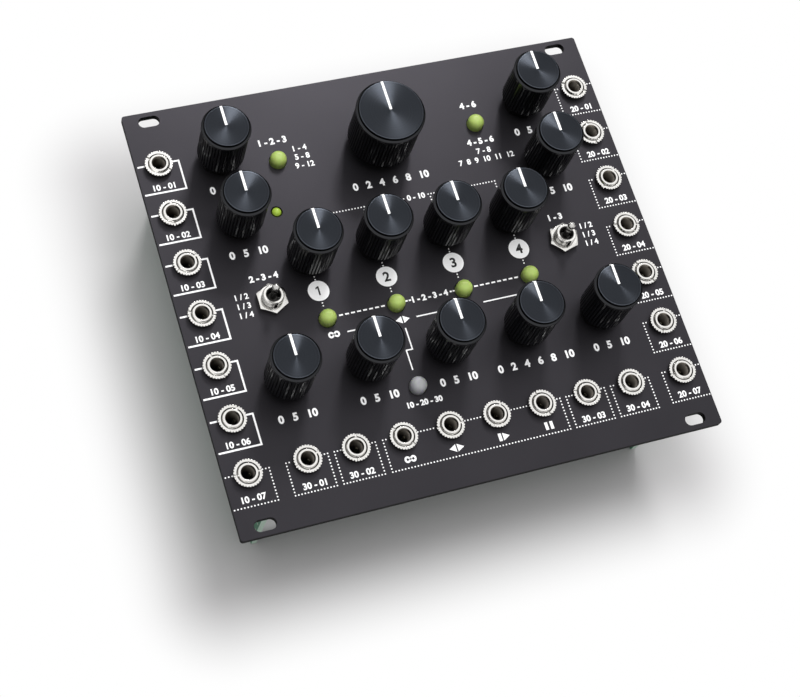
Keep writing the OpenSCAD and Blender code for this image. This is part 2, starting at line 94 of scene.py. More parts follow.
# Rows of signs: place up the panel, size, and places of the loop, two-way, start and pause signs
SIGN_ROWS = ((SIGN_ROW, 2.2, (-30.1, -9.8, 10.1, 30.5)), (-53.2, 2.25, (-20.1, -6.55, 7.5, 21.1)))
LOOP_WIDE, LOOP_TALL, LOOP_STROKE, LOOP_STEPS = 2.85, 0.67, 0.55, 48
ARROW_SHARE, ARROW_GAP = 0.86, 0.2
BLOCK_WIDE = 0.9
START_BLOCK, START_ARROW, PAUSE_BLOCK = 1.15, 0.3, 0.78

# Figures: how far their strokes are thickened, and the words, height, weight and places of each label
LIGHT, SOCKET_WEIGHT, PLAIN, HEAVY = 0.04, 0.045, 0.062, 0.07
FIGURE_SCALE, CAPITAL_SHARE = 1.12, 0.7
LABELS = (
    ("0   5   10", 1.9, PLAIN, ((-46.6, -34.2), (-23.0, -34.2), (0.4, -34.2), (47.4, -34.2),
                                (-46.6, 15.5), (-46.6, 36.2), (47.3, 36.4), (47.4, 15.8))),
    ("0   2   4   6   8   10", 1.9, PLAIN, ((23.9, -34.2), (0.1, 28.9))),
    ("0 - 10", 1.45, PLAIN, ((5.7, LEVEL_ROW),)),
    ("1 - 2 - 3 - 4", 1.5, HEAVY, ((0.1, DASH_ROW),)),
    ("1 - 2 - 3", 1.7, PLAIN, ((-30.4, 48.1),)),
    ("4 - 6", 1.7, PLAIN, ((30.4, 48.1),)),
    ("4 - 5 - 6", 1.6, HEAVY, ((30.4, 35.9),)),
    ("7 - 8", 1.5, LIGHT, ((30.4, 32.7),)),
    ("7  8  9  10  11  12", 1.5, LIGHT, ((30.4, 29.9),)),
    ("10 - 20 - 30", 1.4, PLAIN, ((-11.1, -38.4),)),
    ("1 - 4", 1.5, LIGHT, ((-23.2, 44.5),)),
    ("5 - 8", 1.5, LIGHT, ((-23.2, 41.75),)),
    ("9 - 12", 1.5, LIGHT, ((-23.2, 38.95),)),
    ("2 - 3 - 4", 1.6, HEAVY, ((-44.6, 7.4),)),
    ("1 - 3", 1.6, HEAVY, ((44.5, 7.4),)),
    ("1 / 2", 1.45, LIGHT, ((-52.2, 2.9), (52.8, 2.9))),
    ("1 / 3", 1.45, LIGHT, ((-52.2, 0.1), (52.8, 0.1))),
    ("1 / 4", 1.45, LIGHT, ((-52.2, -2.65), (52.8, -2.65))),
)
SOCKET_FIGURES = 1.55
LEFT_LABEL_DROP, RIGHT_LABEL_DROP, RIGHT_LABEL_SHIFT = 6.65, 6.5, 0.4
ROW_LABELS = ((-47.6, -53.8), (-34.1, -53.8), (34.6, -53.8), (48.4, -53.8))
DISC_FIGURES, DISC_WEIGHT = 2.5, 0.042
DISC_INK_ROOT, DISC_INK = 0.005, 0.02
FIGURE_ONE = ((-0.16, -1.38), (0.30, -1.38), (0.30, 1.38), (-0.08, 1.38),
              (-0.70, 0.98), (-0.70, 0.50), (-0.16, 0.84))

# Knobs, in millimetres: the slope's width, bands below the top, the foot, the bevel and the disc's dish
SLOPE = 0.7
DISC_BAND, WALL_FOOT, SLOPE_FOOT = 0.065, 0.76, 1.04
FOOT = 0.95
# BEVEL_SHADE: where the bevel's painted highlight gives way to a painted dark outline
BEVEL, BEVEL_SHADE = 0.34, 0.22
DISH = 0.18
POINTER_HALF, POINTER_START = 0.36, 0.3

# Plating: distance between tool marks
TOOL_PITCH = 0.17

# Sockets: where the bore's colour starts and where its painted light fades into painted shade with depth, and
# the contact spring as (distance, height)
BORE_TOP, BORE_DEEP, BORE_FADE = 1.32, 3.2, 3.6
SPRING_PATH = ((1.70, -3.4), (1.52, -4.2), (1.18, -5.2), (1.36, -6.2), (1.70, -7.0))
SPRING_THICK, SPRING_HALF = 0.09, 0.45
SPRING_TURN = math.radians(35)

# Toggles: bore, keyway, the threads from the nut to the rim, and a thread's section as (radius, height)
TOGGLE_BORE = 2.2
KEYWAY_HALF, KEYWAY_REACH = 0.52, 2.98
KEYWAY_ANGLE = math.radians(11)
THREAD_PITCH, THREAD_STEPS, THREAD_TURNS = 0.42, 56, 6
# DARK_ROOT: height above the toggle nut below which the bushing gets painted shade
THREAD_DROP, THREAD_END, DARK_ROOT = 0.2, 0.6, 0.4
THREAD_PROFILE = ((2.96, -0.17), (3.085, -0.03), (3.085, 0.03), (2.96, 0.17))

# Level light: how fast its core fades and where its rim starts, by the square of the distance in metres
CORE_FADE = 1100000.0
LENS_RIM = 0.0000017

# Tracks on the boards: lanes and runs for each millimetre, their shift, width and share, and the holes
LANES, RUNS, RUN_SHIFT = 0.8, 0.085, 0.37
TRACK_HALF, TRACK_GAPS = 0.14, 0.55
HOLE, LAND = 0.075, 0.15

# Capacitors: their number, the mark's place, the depth of the top's print and the height of the base
CANS = 4
CAN_MARK, CAN_PRINT, CAN_BASE = 1.4, 0.08, 0.82

# Boards: where the legs of each control come through, the solder's outline, and the small parts' grid
SOCKET_LEGS = ((0, 6.1), (0, 3.0), (0, -3.4))
KNOB_LEGS = ((-2.5, -6.6), (0, -6.6), (2.5, -6.6), (-4.25, 0), (4.25, 0))
BUTTON_LEGS = ((-2.5, -3.0), (-2.5, 3.0), (2.5, -3.0), (2.5, 3.0))
TOGGLE_LEGS = ((0, -4.7), (0, 0), (0, 4.7))
SOLDER = ((0, -0.85), (0.2, -0.82), (0.34, -0.5), (0.62, -0.2), (0.95, -0.03), (0.95, 0.02), (0, 0.02))
GRID = range(-17, 18)
CONTROL_PITCH, SIDE_PITCH = 3.1, 3.0
SIDE_ROWS = (2.6, 5.4, 21.0)
JOINT_CLEAR, PART_CLEAR, SIDE_CLEAR, END_CLEAR = 2.0, 1.8, 4.8, 2.5
PROCESSOR_CLEAR = 10.5
LYING_SHARE, KEPT_SHARE, SIDE_SHARE, CERAMIC_SHARE = 0.5, 0.5, 0.62, 0.45
PART_BODY, PART_END, PART_BODY_HALF, PART_END_HALF = 0.5, 0.8, 0.38, 0.42
RESISTOR_TALL, CERAMIC_TALL, BODY_LOWER, PART_ROOT = 0.45, 0.75, 0.03, 0.02

# Chip legs: their path as (outward, height), and the chips' rows and pitches
LEG_PATH = ((0.0, 0.62), (0.28, 0.62), (0.5, 0.1), (0.95, 0.1))
LEG_THICK, PROCESSOR_LEG, AUDIO_LEG = 0.12, 0.26, 0.4
PROCESSOR_LEGS, PROCESSOR_PITCH = 20, 0.62
AUDIO_CHIPS, AUDIO_LEGS, AUDIO_PITCH = 5, 4, 1.2
AUDIO_CHIP_WIDE, AUDIO_CHIP_HALF = 5.0, 2.0
AUDIO_ROWS = (0.3 * BOARD_REAR, 0.62 * BOARD_REAR)

# Stage: the floor in metres with painted light under the module, and the room's brightness in reflections
FLOOR_RADIUS, FLOOR_LEVEL, FLOOR_STEPS = 2.5, -0.0004, 96
FLOOR_FADE = 0.031
UNDER_IN, UNDER_FADE, UNDER_GLOW = 0.01, 0.0025, 0.22
ROOM_FULL, ROOM_DIM, ROOM_FRONT = 0.75, 0.06, 0.85
LAMP_AWAY = 1.0


def spot(node):
    """Middle of a node in X and Y, and its top, in millimetres."""
    low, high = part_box(node)
    return (low.x + high.x) / 2 / MM, (low.y + high.y) / 2 / MM, high.z / MM


class EchoFinishes(bpy.types.PropertyGroup):
    """Colours of the module's finishes."""

    panel: FloatVectorProperty(
        name="Panel paint", description="Matte paint of the front panel",
        subtype="COLOR", size=3, min=0, max=1, default=(0.0354, 0.0336, 0.0384))
    ink: FloatVectorProperty(
        name="Print", description="White print and pointer fill",
        subtype="COLOR", size=3, min=0, max=1, default=(0.93, 0.93, 0.935))
    nickel: FloatVectorProperty(
        name="Plating", description="Plated nuts, bushings and levers",
        subtype="COLOR", size=3, min=0, max=1, default=(0.88, 0.865, 0.835))
    knob_side: FloatVectorProperty(
        name="Knob side", description="Black anodised skirt of the knobs",
        subtype="COLOR", size=3, min=0, max=1, default=(0.0030, 0.0031, 0.0038))
    knob_top: FloatVectorProperty(
        name="Knob top", description="Turned discs of the knobs",
        subtype="COLOR", size=3, min=0, max=1, default=(0.0292, 0.0325, 0.0388))
    knob_slope: FloatVectorProperty(
        name="Knob slope", description="Glossy slope around the discs",
        subtype="COLOR", size=3, min=0, max=1, default=(0.037, 0.038, 0.041))
    lime: FloatVectorProperty(
        name="Lime button", description="Satin plastic of six buttons",
        subtype="COLOR", size=3, min=0, max=1, default=(0.342, 0.452, 0.110))
    grey: FloatVectorProperty(
        name="Grey button", description="Satin plastic of the low button",
        subtype="COLOR", size=3, min=0, max=1, default=(0.33, 0.335, 0.35))
    light: FloatVectorProperty(
        name="Level light", description="Glow of the level light",
        subtype="COLOR", size=3, min=0, max=1, default=(0.30, 0.44, 0.045))
    board: FloatVectorProperty(
        name="Board", description="Solder mask of the boards",
        subtype="COLOR", size=3, min=0, max=1, default=(0.016, 0.145, 0.070))


class EchoPrint(bpy.types.PropertyGroup):
    """Sizes of the print on the panel."""

    line: FloatProperty(
        name="Line width", description="Width of the socket boxes' lines",
        unit="LENGTH", min=0.0002, max=0.001, precision=5, default=0.0005)
    thin_line: FloatProperty(
        name="Thin line width", description="Width of the lines between the signs",
        unit="LENGTH", min=0.0002, max=0.001, precision=5, default=0.00038)
    dot: FloatProperty(
        name="Dot", description="Width of a dot",
        unit="LENGTH", min=0.0003, max=0.0008, precision=5, default=0.00044)
    dot_pitch: FloatProperty(
        name="Dot pitch", description="Distance between dots",
        unit="LENGTH", min=0.0007, max=0.002, precision=5, default=0.00092)
    dash: FloatProperty(
        name="Dash", description="Length of a dash",
        unit="LENGTH", min=0.0005, max=0.003, precision=5, default=0.00115)
    dash_pitch: FloatProperty(
        name="Dash pitch", description="Distance between dashes",
        unit="LENGTH", min=0.001, max=0.004, precision=5, default=0.0017)
    disc: FloatProperty(
        name="Number disc", description="Radius of the numbered discs",
        unit="LENGTH", min=0.002, max=0.004, precision=5, default=0.00307)
    thickness: FloatProperty(
        name="Ink thickness", description="Height of the ink above the paint",
        unit="LENGTH", min=0.00001, max=0.0001, precision=6, default=0.00003)


class EchoStage(bpy.types.PropertyGroup):
    """Camera and studio light."""

    camera_place: FloatVectorProperty(
        name="Camera", description="Place of the camera",
        subtype="TRANSLATION", unit="LENGTH", size=3, default=(-0.153327, -0.168405, 0.479194))
    camera_turn: FloatVectorProperty(
        name="Camera turn", description="Rotation of the camera",
        subtype="EULER", unit="ROTATION", size=3,
        default=tuple(math.radians(a) for a in (22.7866, -10.1993, -17.0358)))
    lens: FloatProperty(
        name="Lens", description="Focal length on a 36 mm sensor in millimetres",
        min=20, max=200, default=78.359)
    shift: FloatVectorProperty(
        name="Shift", description="Camera shift across and up, in image widths",
        size=2, default=(0.053189, -0.029408))
    key_power: FloatProperty(
        name="Key light", description="Power of the wide soft light overhead",
        unit="POWER", min=0, max=100, default=8.5)
    strip_power: FloatProperty(
        name="Upper light", description="Power of the soft light beyond the top edge",
        unit="POWER", min=0, max=100, default=4.8)
    sky: FloatProperty(
        name="Room light", description="Strength of the room's even light",
        min=0, max=2, default=0.48)
    floor: FloatVectorProperty(
        name="Floor", description="Pale floor",
        subtype="COLOR", size=3, min=0, max=1, default=(0.507, 0.498, 0.503))


def joined(operation, swapped=False):
    """A method that joins a wire and a value in a Math node."""
    def method(self, value):
        return self.maths(operation, *((value, self) if swapped else (self, value)))
    return method


def changed(operation):
    """A method that puts one wire through a Math node."""
    def method(self):
        return self.maths(operation, self)
    return method


class Wire:
    """A node's output. Sums and products of wires and numbers add Math nodes."""

    __add__, __radd__ = joined("ADD"), joined("ADD", swapped=True)
    __sub__, __rsub__ = joined("SUBTRACT"), joined("SUBTRACT", swapped=True)
    __mul__, __rmul__ = joined("MULTIPLY"), joined("MULTIPLY", swapped=True)
    __truediv__, __rtruediv__ = joined("DIVIDE"), joined("DIVIDE", swapped=True)
    __pow__, __rpow__ = joined("POWER"), joined("POWER", swapped=True)
    __gt__, __lt__ = joined("GREATER_THAN"), joined("LESS_THAN")
    at_least, at_most = joined("MAXIMUM"), joined("MINIMUM")
    __abs__, root, sine = changed("ABSOLUTE"), changed("SQRT"), changed("SINE")
    whole, part = changed("FLOOR"), changed("FRACT")

    def __init__(self, paint, socket):
        self.paint = paint
        self.socket = socket

    def maths(self, operation, *values):
        return self.paint.node("ShaderNodeMath", {"operation": operation}, dict(enumerate(values)))

    def other(self, name):
        """Another output of the same node."""
        return Wire(self.paint, self.socket.node.outputs[name])

    def clamped(self):
        return self.at_least(0.0).at_most(1.0)

    def eased(self):
        """A soft start and end between 0 and 1."""
        return self * self * (3 - 2 * self)


class Paint:
    """A material, or the room, and the one way its nodes are made."""

    def __init__(self, name, holder=None):
        self.material = holder or bpy.data.materials.new(name)
        self.material.use_nodes = True
        self.tree = self.material.node_tree
        self.tree.nodes.clear()

    def node(self, kind, settings=None, sockets=None, out=0):
        """A node with its settings, then its values and links. Gives one of its outputs, if it has any."""
        made = self.tree.nodes.new(kind)
        for key, value in (settings or {}).items():
            setattr(made, key, value)
        for key, value in (sockets or {}).items():
            if isinstance(value, Wire):
                self.tree.links.new(value.socket, made.inputs[key])
            else:
                made.inputs[key].default_value = value
        return Wire(self, made.outputs[out]) if len(made.outputs) else None

    def place(self):
        """A point in the row frame, in metres, which turns with the piece."""
        return self.node("ShaderNodeTexCoord", out="Object")

    def axes(self):
        """The three parts of place, as wires."""
        x = self.node("ShaderNodeSeparateXYZ", None, {"Vector": self.place()}, "X")
        return x, x.other("Y"), x.other("Z")

    def noise(self, scale, detail=2.0, rough=0.5):
        return self.node("ShaderNodeTexNoise", None, {
            "Vector": self.place(), "Scale": scale, "Detail": detail, "Roughness": rough})

    def mix(self, share, first, second):
        """A colour between two colours."""
        return self.node("ShaderNodeMix", {"data_type": "RGBA"}, {
            0: share, 6: colour4(first), 7: colour4(second)}, 2)

    def tones(self, share, colour, dark, pale):
        """A colour between two shades of itself."""
        return self.mix(share, shade(colour, dark), shade(colour, pale))

    def facing(self, axis="Z", normal="True Normal"):
        """How far a face looks along an axis, from -1 to 1."""
        return self.node("ShaderNodeSeparateXYZ", None, {
            "Vector": self.node("ShaderNodeNewGeometry", out=normal)}, axis)

    def edge(self, radius):
        """A normal that rounds sharp edges."""
        return self.node("ShaderNodeBevel", {"samples": 6}, {"Radius": radius * MM})

    def bump(self, height, strength, distance, normal=None):
        sockets = {"Height": height, "Strength": strength, "Distance": distance * MM}
        if normal is not None:
            sockets["Normal"] = normal
        return self.node("ShaderNodeBump", None, sockets)

    def seen(self):
        """1 for what the camera sees, also in a mirror or through glass."""
        ray = self.node("ShaderNodeLightPath", out="Is Camera Ray")
        return 1 - (1 - ray) * (1 - ray.other("Is Glossy Ray")) * (1 - ray.other("Is Transmission Ray"))

    def finish(self, sockets):
        surface = self.node("ShaderNodeBsdfPrincipled", None, sockets)
        self.node("ShaderNodeOutputMaterial", None, {"Surface": surface})
        return self.material


def colour4(value):
    """A wire as it is, and a colour with its alpha."""
    return value if isinstance(value, Wire) else (value[0], value[1], value[2], 1.0)


def shade(colour, factor):
    """A colour made lighter or darker."""
    return tuple(min(1.0, c * factor) for c in colour)


def circle(x, y, r, count):
    return [(x + r * math.cos(TURN * i / count), y + r * math.sin(TURN * i / count)) for i in range(count)]


def strip_faces(n):
    """Faces of a bent strip with four rows of n points: front and back of one edge, then of the other."""
    faces = [(0, n, 3 * n, 2 * n), (n - 1, 3 * n - 1, 4 * n - 1, 2 * n - 1)]
    for i in range(n - 1):
        faces += [(i, i + 1, n + i + 1, n + i), (2 * n + i, 3 * n + i, 3 * n + i + 1, 2 * n + i + 1),
                  (i, 2 * n + i, 2 * n + i + 1, i + 1), (n + i, n + i + 1, 3 * n + i + 1, 3 * n + i)]
    return faces


class Shape:
    """Points in millimetres and faces gathered for one mesh."""

    def __init__(self):
        self.points = []
        self.faces = []
        self.kinds = []

    def add(self, points, faces, kind=0):
        start = len(self.points)
        self.points.extend(points)
        self.faces.extend([tuple(i + start for i in face) for face in faces])
        self.kinds.extend([kind] * len(faces))

    def prism(self, outline, low, high):
        """A closed prism over an outline that runs anticlockwise."""
        n = len(outline)
        points = [(x, y, low) for x, y in outline] + [(x, y, high) for x, y in outline]
        faces = [tuple(range(n - 1, -1, -1)), tuple(range(n, 2 * n))]
        faces += [(i, (i + 1) % n, n + (i + 1) % n, n + i) for i in range(n)]
        self.add(points, faces)

    def lathe(self, outline, centre, count):
        """A closed turned body. The outline of (radius, height) runs up, from radius 0 to radius 0."""
        cx, cy = centre
        rings = outline[1:-1]
        points = [(cx, cy, outline[0][1])]
        for r, z in rings:
            points += [(x, y, z) for x, y in circle(cx, cy, r, count)]
        points.append((cx, cy, outline[-1][1]))
        last = len(points) - 1
        faces = [(0, 1 + (i + 1) % count, 1 + i) for i in range(count)]
        for k in range(len(rings) - 1):
            a, b = 1 + k * count, 1 + (k + 1) * count
            faces += [(a + i, a + (i + 1) % count, b + (i + 1) % count, b + i) for i in range(count)]
        top = 1 + (len(rings) - 1) * count
        faces += [(top + i, top + (i + 1) % count, last) for i in range(count)]
        self.add(points, faces)

    def ribbon(self, path, width, low, high):
        """A closed flat band of even width along a closed path."""
        n = len(path)
        inner, outer = [], []
        for i in range(n):
            before, after = Vector(path[i - 1]), Vector(path[(i + 1) % n])
            side = (after - before).normalized() * width / 2
            x, y = path[i]
            outer.append((x + side.y, y - side.x))
            inner.append((x - side.y, y + side.x))
        points = [(x, y, z) for z in (low, high) for ring in (outer, inner) for x, y in ring]
        faces = []
        for i in range(n):
            j = (i + 1) % n
            faces += [(2 * n + i, 2 * n + j, 3 * n + j, 3 * n + i), (i, n + i, n + j, j),
                      (i, j, 2 * n + j, 2 * n + i), (n + i, 3 * n + i, 3 * n + j, n + j)]
        self.add(points, faces)

    def piece(self, name, materials, body=FIXED, slot=None, smooth=False):
        """Makes the gathered shape one object that rides on a body."""
        mesh = bpy.data.meshes.new(name)
        mesh.from_pydata([tuple(c * MM for c in p) for p in self.points], [], self.faces)
        for material in materials:
            mesh.materials.append(material)
        mesh.polygons.foreach_set("material_index", self.kinds)
        mesh.polygons.foreach_set("use_smooth", [smooth] * len(self.faces))
        if mesh.validate():
            raise RuntimeError(name + " has a bad face")
        mesh.update()
        made = bpy.data.objects.new(name, mesh)
        bpy.context.scene.collection.objects.link(made)
        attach(made, body)


class Ink(Shape):
    """Flat print on a face. Its film starts a little inside the face."""

    def __init__(self, face, root, film):
        super().__init__()
        self.low, self.high = face - root, face + film

    def patch(self, outline):
        self.prism(outline, self.low, self.high)

    def bar(self, x0, y0, x1, y1):
        self.patch([(x0, y0), (x1, y0), (x1, y1), (x0, y1)])

    def across(self, x0, x1, y, half):
        """A line along X."""
        self.bar(x0, y - half, x1, y + half)

    def upright(self, x, y0, y1, half):
        """A line along Y."""
        self.bar(x - half, y0, x + half, y1)

    def dots(self, start, end, first=True, last=True):
        """A row of dots between two places, left out under the nuts."""
        sizes = printing()
        count = max(1, round(math.dist(start, end) / (sizes.dot_pitch / MM)))
        for i in range(0 if first else 1, count + 1 if last else count):
            x = start[0] + (end[0] - start[0]) * i / count
            y = start[1] + (end[1] - start[1]) * i / count
            if clear_of_nuts(x, y):
                self.patch(circle(x, y, sizes.dot / MM / 2, 12))

    def dotted_path(self, corners, closed=False):
        """Dots along a path, with one dot at each corner."""
        for i, (start, end) in enumerate(zip(corners, corners[1:])):
            self.dots(start, end, first=i == 0)
        if closed:
            self.dots(corners[-1], corners[0], first=False, last=False)

    def figures(self, words, x, y, height, weight):
        """Figures centred on a place."""
        points, faces = text_shape(words, height * FIGURE_SCALE, weight)
        middle, tall = (self.low + self.high) / 2, self.high - self.low
        self.add([(x + px, y + py, middle + pz * tall) for px, py, pz in points], faces)


def panel_ink():
    """Print on the panel's face."""
    return Ink(FACE, INK_ROOT, printing().thickness / MM)


def clear_of_nuts(x, y):
    """True where no socket nut covers a dot."""
    return all((x - sx) ** 2 + (y - sy) ** 2 > DOT_CLEAR ** 2 for sx, sy in SOCKETS.values())


def text_shape(words, height, weight):
    """Points and faces of figures, centred, in millimetres, one unit thick."""
    curve = bpy.data.curves.new("figures", "FONT")
    curve.body = words
    curve.size = height / CAPITAL_SHARE
    curve.extrude = 0.5
    curve.offset = weight * height
    curve.resolution_u = 5
    holder = bpy.data.objects.new("figures", curve)
    bpy.context.scene.collection.objects.link(holder)
    bpy.context.view_layer.update()
    mesh = bpy.data.meshes.new_from_object(holder.evaluated_get(bpy.context.evaluated_depsgraph_get()))
    points = [tuple(v.co) for v in mesh.vertices]
    faces = [tuple(p.vertices) for p in mesh.polygons]
    bpy.data.objects.remove(holder)
    bpy.data.curves.remove(curve)
    bpy.data.meshes.remove(mesh)
    xs = [p[0] for p in points]
    ys = [p[1] for p in points]
    mx, my = (min(xs) + max(xs)) / 2, (min(ys) + max(ys)) / 2
    return [(x - mx, y - my, z) for x, y, z in points], faces


def dress(names, material):
    """Gives CAD nodes a finish."""
    for name in names:
        body = NODES[name]
        if not body.material_slots:
            body.data.materials.append(material)
        for slot in body.material_slots:
            slot.material = material


def finishes():
    return bpy.context.scene.echo_finishes


def printing():
    return bpy.context.scene.echo_print


def panel_paint(colours):
    """Fine powder coat in front and at the edges, with painted shade on the upright faces, and bare sheet
    behind.
    """
    paint = Paint("Panel paint")
    grain = paint.noise(4200, 3.0, 0.6)
    cloud = paint.noise(55)
    tone = paint.tones(grain * 0.65 + cloud * 0.35, colours.panel, 0.72, 1.3)
    # Painted shade on upright faces, the walls of holes and slots too
    tone = paint.mix(paint.facing() < 0.5, tone, shade(colours.panel, 0.2))
    front = paint.axes()[2] > PANEL_LOW.z + 0.06 * MM
    streak = paint.node("ShaderNodeTexNoise", None, {
        "Vector": paint.node("ShaderNodeVectorMath", {"operation": "MULTIPLY"}, {
            0: paint.place(), 1: (60, 3000, 60)}), "Scale": 1.0, "Detail": 2.0})
    sheet = paint.mix(streak, (0.42, 0.42, 0.43), (0.62, 0.62, 0.63))
    return paint.finish({
        "Base Color": paint.mix(front, sheet, tone),
        "Metallic": 1 - front * 0.2,
        "Roughness": 0.33 + grain * 0.14,
        "Specular Tint": (0.12, 0.12, 0.12, 1.0),
        "Normal": paint.bump(grain, 0.22, 0.03, paint.edge(0.05))})


def ink_finish(name, colour):
    """Screen print with a slightly uneven film."""
    paint = Paint(name)
    film = paint.noise(2600)
    return paint.finish({
        "Base Color": paint.tones(film, colour, 0.93, 1.04),
        "Roughness": 0.42 + film * 0.2,
        "Normal": paint.bump(film, 0.15, 0.01)})


def nickel_finish(name, colour, rough=0.17, edge=0.07, sides=1.0, metal=1.0, hollow=None):
    """Plated turned brass: faint tool marks, soft edges and a few dull spots.

    Sides below 1 paint shade on the upright faces. A hollow of (x, y, lowest bright height) paints shade into
    the toggles' bores and keyways and onto what lies below that height.
    """
    paint = Paint(name)
    x, y, z = paint.axes()
    marks = paint.noise(5200)
    dull = paint.noise(700)
    rings = (z * (TURN / (TOOL_PITCH * MM))).sine()
    tone = paint.tones(dull, colour, 0.86, 1.1)
    # Painted shade on the upright faces
    if sides < 1:
        tone = paint.mix((paint.facing() < 0.5) * (1 - sides), tone, (0.0, 0.0, 0.0))
    if hollow:
        cx, cy, root = hollow
        dx = abs(x) - cx * MM
        dy = y - cy * MM
        rr = dx * dx + dy * dy
        slot = (abs(dx) < KEYWAY_HALF * MM) * (dy < 0.0) * (rr < (KEYWAY_REACH * MM) ** 2)
        keyway = slot * (paint.facing() < 0.5)
        bore = rr < (TOGGLE_BORE * MM) ** 2
        # Painted shade below the given height, then in the bore and keyway
        tone = paint.mix((z < root * MM) * 0.7, tone, shade(colour, 0.1))
        tone = paint.mix((keyway + bore).at_most(1.0), tone, shade(colour, 0.09))
    return paint.finish({
        "Base Color": tone,
        "Metallic": metal,
        "Roughness": rough + dull * 0.14 + marks * 0.05,
        "Normal": paint.bump(marks + rings * 0.25, 0.08, 0.02, paint.edge(edge))})


def bushing_finish(colours):
    """Plated bushings: bright ends, dull threads with painted shade, and brownish bores with painted light
    and shade.
    """
    paint = Paint("Socket bushing plating")
    z = paint.axes()[2]
    marks = paint.noise(5200)
    bore = z < (FACE + BORE_TOP) * MM
    thread = paint.facing() < 0.3
    outside = paint.tones(marks, colours.nickel, 0.95, 1.08)
    # Painted shade on the upright thread faces
    outside = paint.mix(thread, outside, shade(colours.nickel, 0.42))
    # Bore: painted light strongest on walls facing left and up the panel, fading to painted shade deeper down
    facing = paint.facing("X")
    deep = ((z / MM - (FACE - BORE_DEEP)) / BORE_FADE).clamped()
    lit = ((0.40 - facing * 0.7 + facing.other("Y") * 0.3 + marks * 0.1) * deep).clamped()
    inside = paint.mix(lit, (0.06, 0.05, 0.04), (0.72, 0.67, 0.60))
    return paint.finish({
        "Base Color": paint.mix(bore, outside, inside),
        "Metallic": 1 - bore * 0.5,
        "Roughness": 0.1 + marks * 0.08 + thread * 0.14 + bore * 0.2,
        "Normal": paint.bump(marks, 0.06, 0.02, paint.edge(0.03))})


def moulding_finish(name, colour, rough=0.5, grain=1800):
    """Moulded plastic with a fine spark-eroded grain."""
    paint = Paint(name)
    speck = paint.noise(grain, 3.0, 0.6)
    patch = paint.noise(160)
    return paint.finish({
        "Base Color": paint.tones(speck * 0.5 + patch * 0.5, colour, 0.75, 1.3),
        "Roughness": rough + speck * 0.16 - 0.08,
        "Normal": paint.bump(speck, 0.2, 0.03, paint.edge(0.1))})


def button_finish(name, colour):
    """Satin translucent cap with fine specks and soft patches."""
    paint = Paint(name)
    speck = paint.noise(3000)
    patch = paint.noise(420)
    return paint.finish({
        "Base Color": paint.tones(speck * 0.35 + patch * 0.65, colour, 0.9, 1.12),
        "Roughness": 0.36 + speck * 0.14,
        "Subsurface Weight": 0.25,
        "Subsurface Radius": (0.6, 1.0, 0.3),
        "Subsurface Scale": 0.0006,
        "Normal": paint.bump(speck, 0.12, 0.02, paint.edge(0.25))})


def knob_finish(name, colours):
    """Black anodised knob: fluted side, glossy slope and a disc turned in fine rings, with painted light and
    shade at its edge.
    """
    cx, cy, top = spot("knob_" + name)
    low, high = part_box("knob_" + name)
    disc_r = (high.x - low.x) / 2 - SLOPE * MM
    paint = Paint("Knob " + name)
    px, py, z = paint.axes()
    x = px - cx * MM
    y = py - cy * MM
    r = (x * x + y * y).root()
    disc = z > (top - DISC_BAND) * MM
    above_slope = (top - WALL_FOOT) * MM
    slope = (z > (top - SLOPE_FOOT) * MM) * (z < above_slope)
    wall = (z > above_slope) * (1 - disc)
    foot = z < low.z + FOOT * MM
    flutes = (1 - disc) * (1 - slope) * (1 - wall) * (1 - foot)
    dome = r.at_most(disc_r)
    bevel = (dome - (disc_r - BEVEL * MM)).at_least(0.0)
    height = (dome * dome * (DISH / 2 / disc_r) + bevel * 0.8) / -MM
    rings = paint.node("ShaderNodeTexNoise", {"noise_dimensions": "1D"}, {
        "W": r, "Scale": 2600.0, "Detail": 2.0})
    grain = paint.noise(3600)
    face = paint.tones(rings, colours.knob_top, 0.85, 1.15)
    # Painted highlight on the disc's bevel
    face = paint.mix(bevel > 0.0, face, shade(colours.knob_top, 4.0))
    # Painted shade as a dark outline on the bevel's outer part
    face = paint.mix(bevel > BEVEL_SHADE * MM, face, shade(colours.knob_side, 0.3))
    side = paint.tones(grain, colours.knob_side, 0.7, 1.4)
    # Painted shade on the wall below the disc
    side = paint.mix(wall, side, shade(colours.knob_side, 0.3))
    side = paint.mix(slope, side, colours.knob_slope)
    return paint.finish({
        "Base Color": paint.mix(disc, side, face),
        "Metallic": disc * (0.82 + 0.18 * (bevel > 0.0)) + slope,
        "Roughness": 0.24 + grain * 0.1 * flutes + disc * 0.09 + (wall + foot) * 0.6 - slope * 0.1,
        "Coat Weight": flutes * 0.42,
        "Coat Roughness": 0.1,
        "Anisotropic": 0.95,
        "Anisotropic Rotation": 0.25,
        "Specular IOR Level": 0.35,
        "Specular Tint": (0.02, 0.02, 0.02, 1.0),
        "Normal": paint.bump(height, 1.0, 1.0, paint.edge(0.03))})


def light_finish(colours):
    """Diffusing lens, brightest over the chip inside, with its rim painted dark as shade."""
    cx, cy = spot("level_light")[:2]
    paint = Paint("Level light lens")
    px, py = paint.axes()[:2]
    x = px - cx * MM
    y = py - cy * MM
    rr = x * x + y * y
    core = math.e ** (rr * -CORE_FADE)
    rim = rr > LENS_RIM
    haze = paint.noise(2500)
    glow = paint.tones(core * (0.8 + haze * 0.2), colours.light, 0.6, 1.3)
    return paint.finish({
        # Lens rim painted dark as shade
        "Base Color": paint.tones(rim, colours.light, 0.7, 0.16),
        "Roughness": 0.22 + haze * 0.1,
        "Emission Color": paint.mix(rim, glow, shade(colours.light, 0.06)),
        "Emission Strength": 0.46})


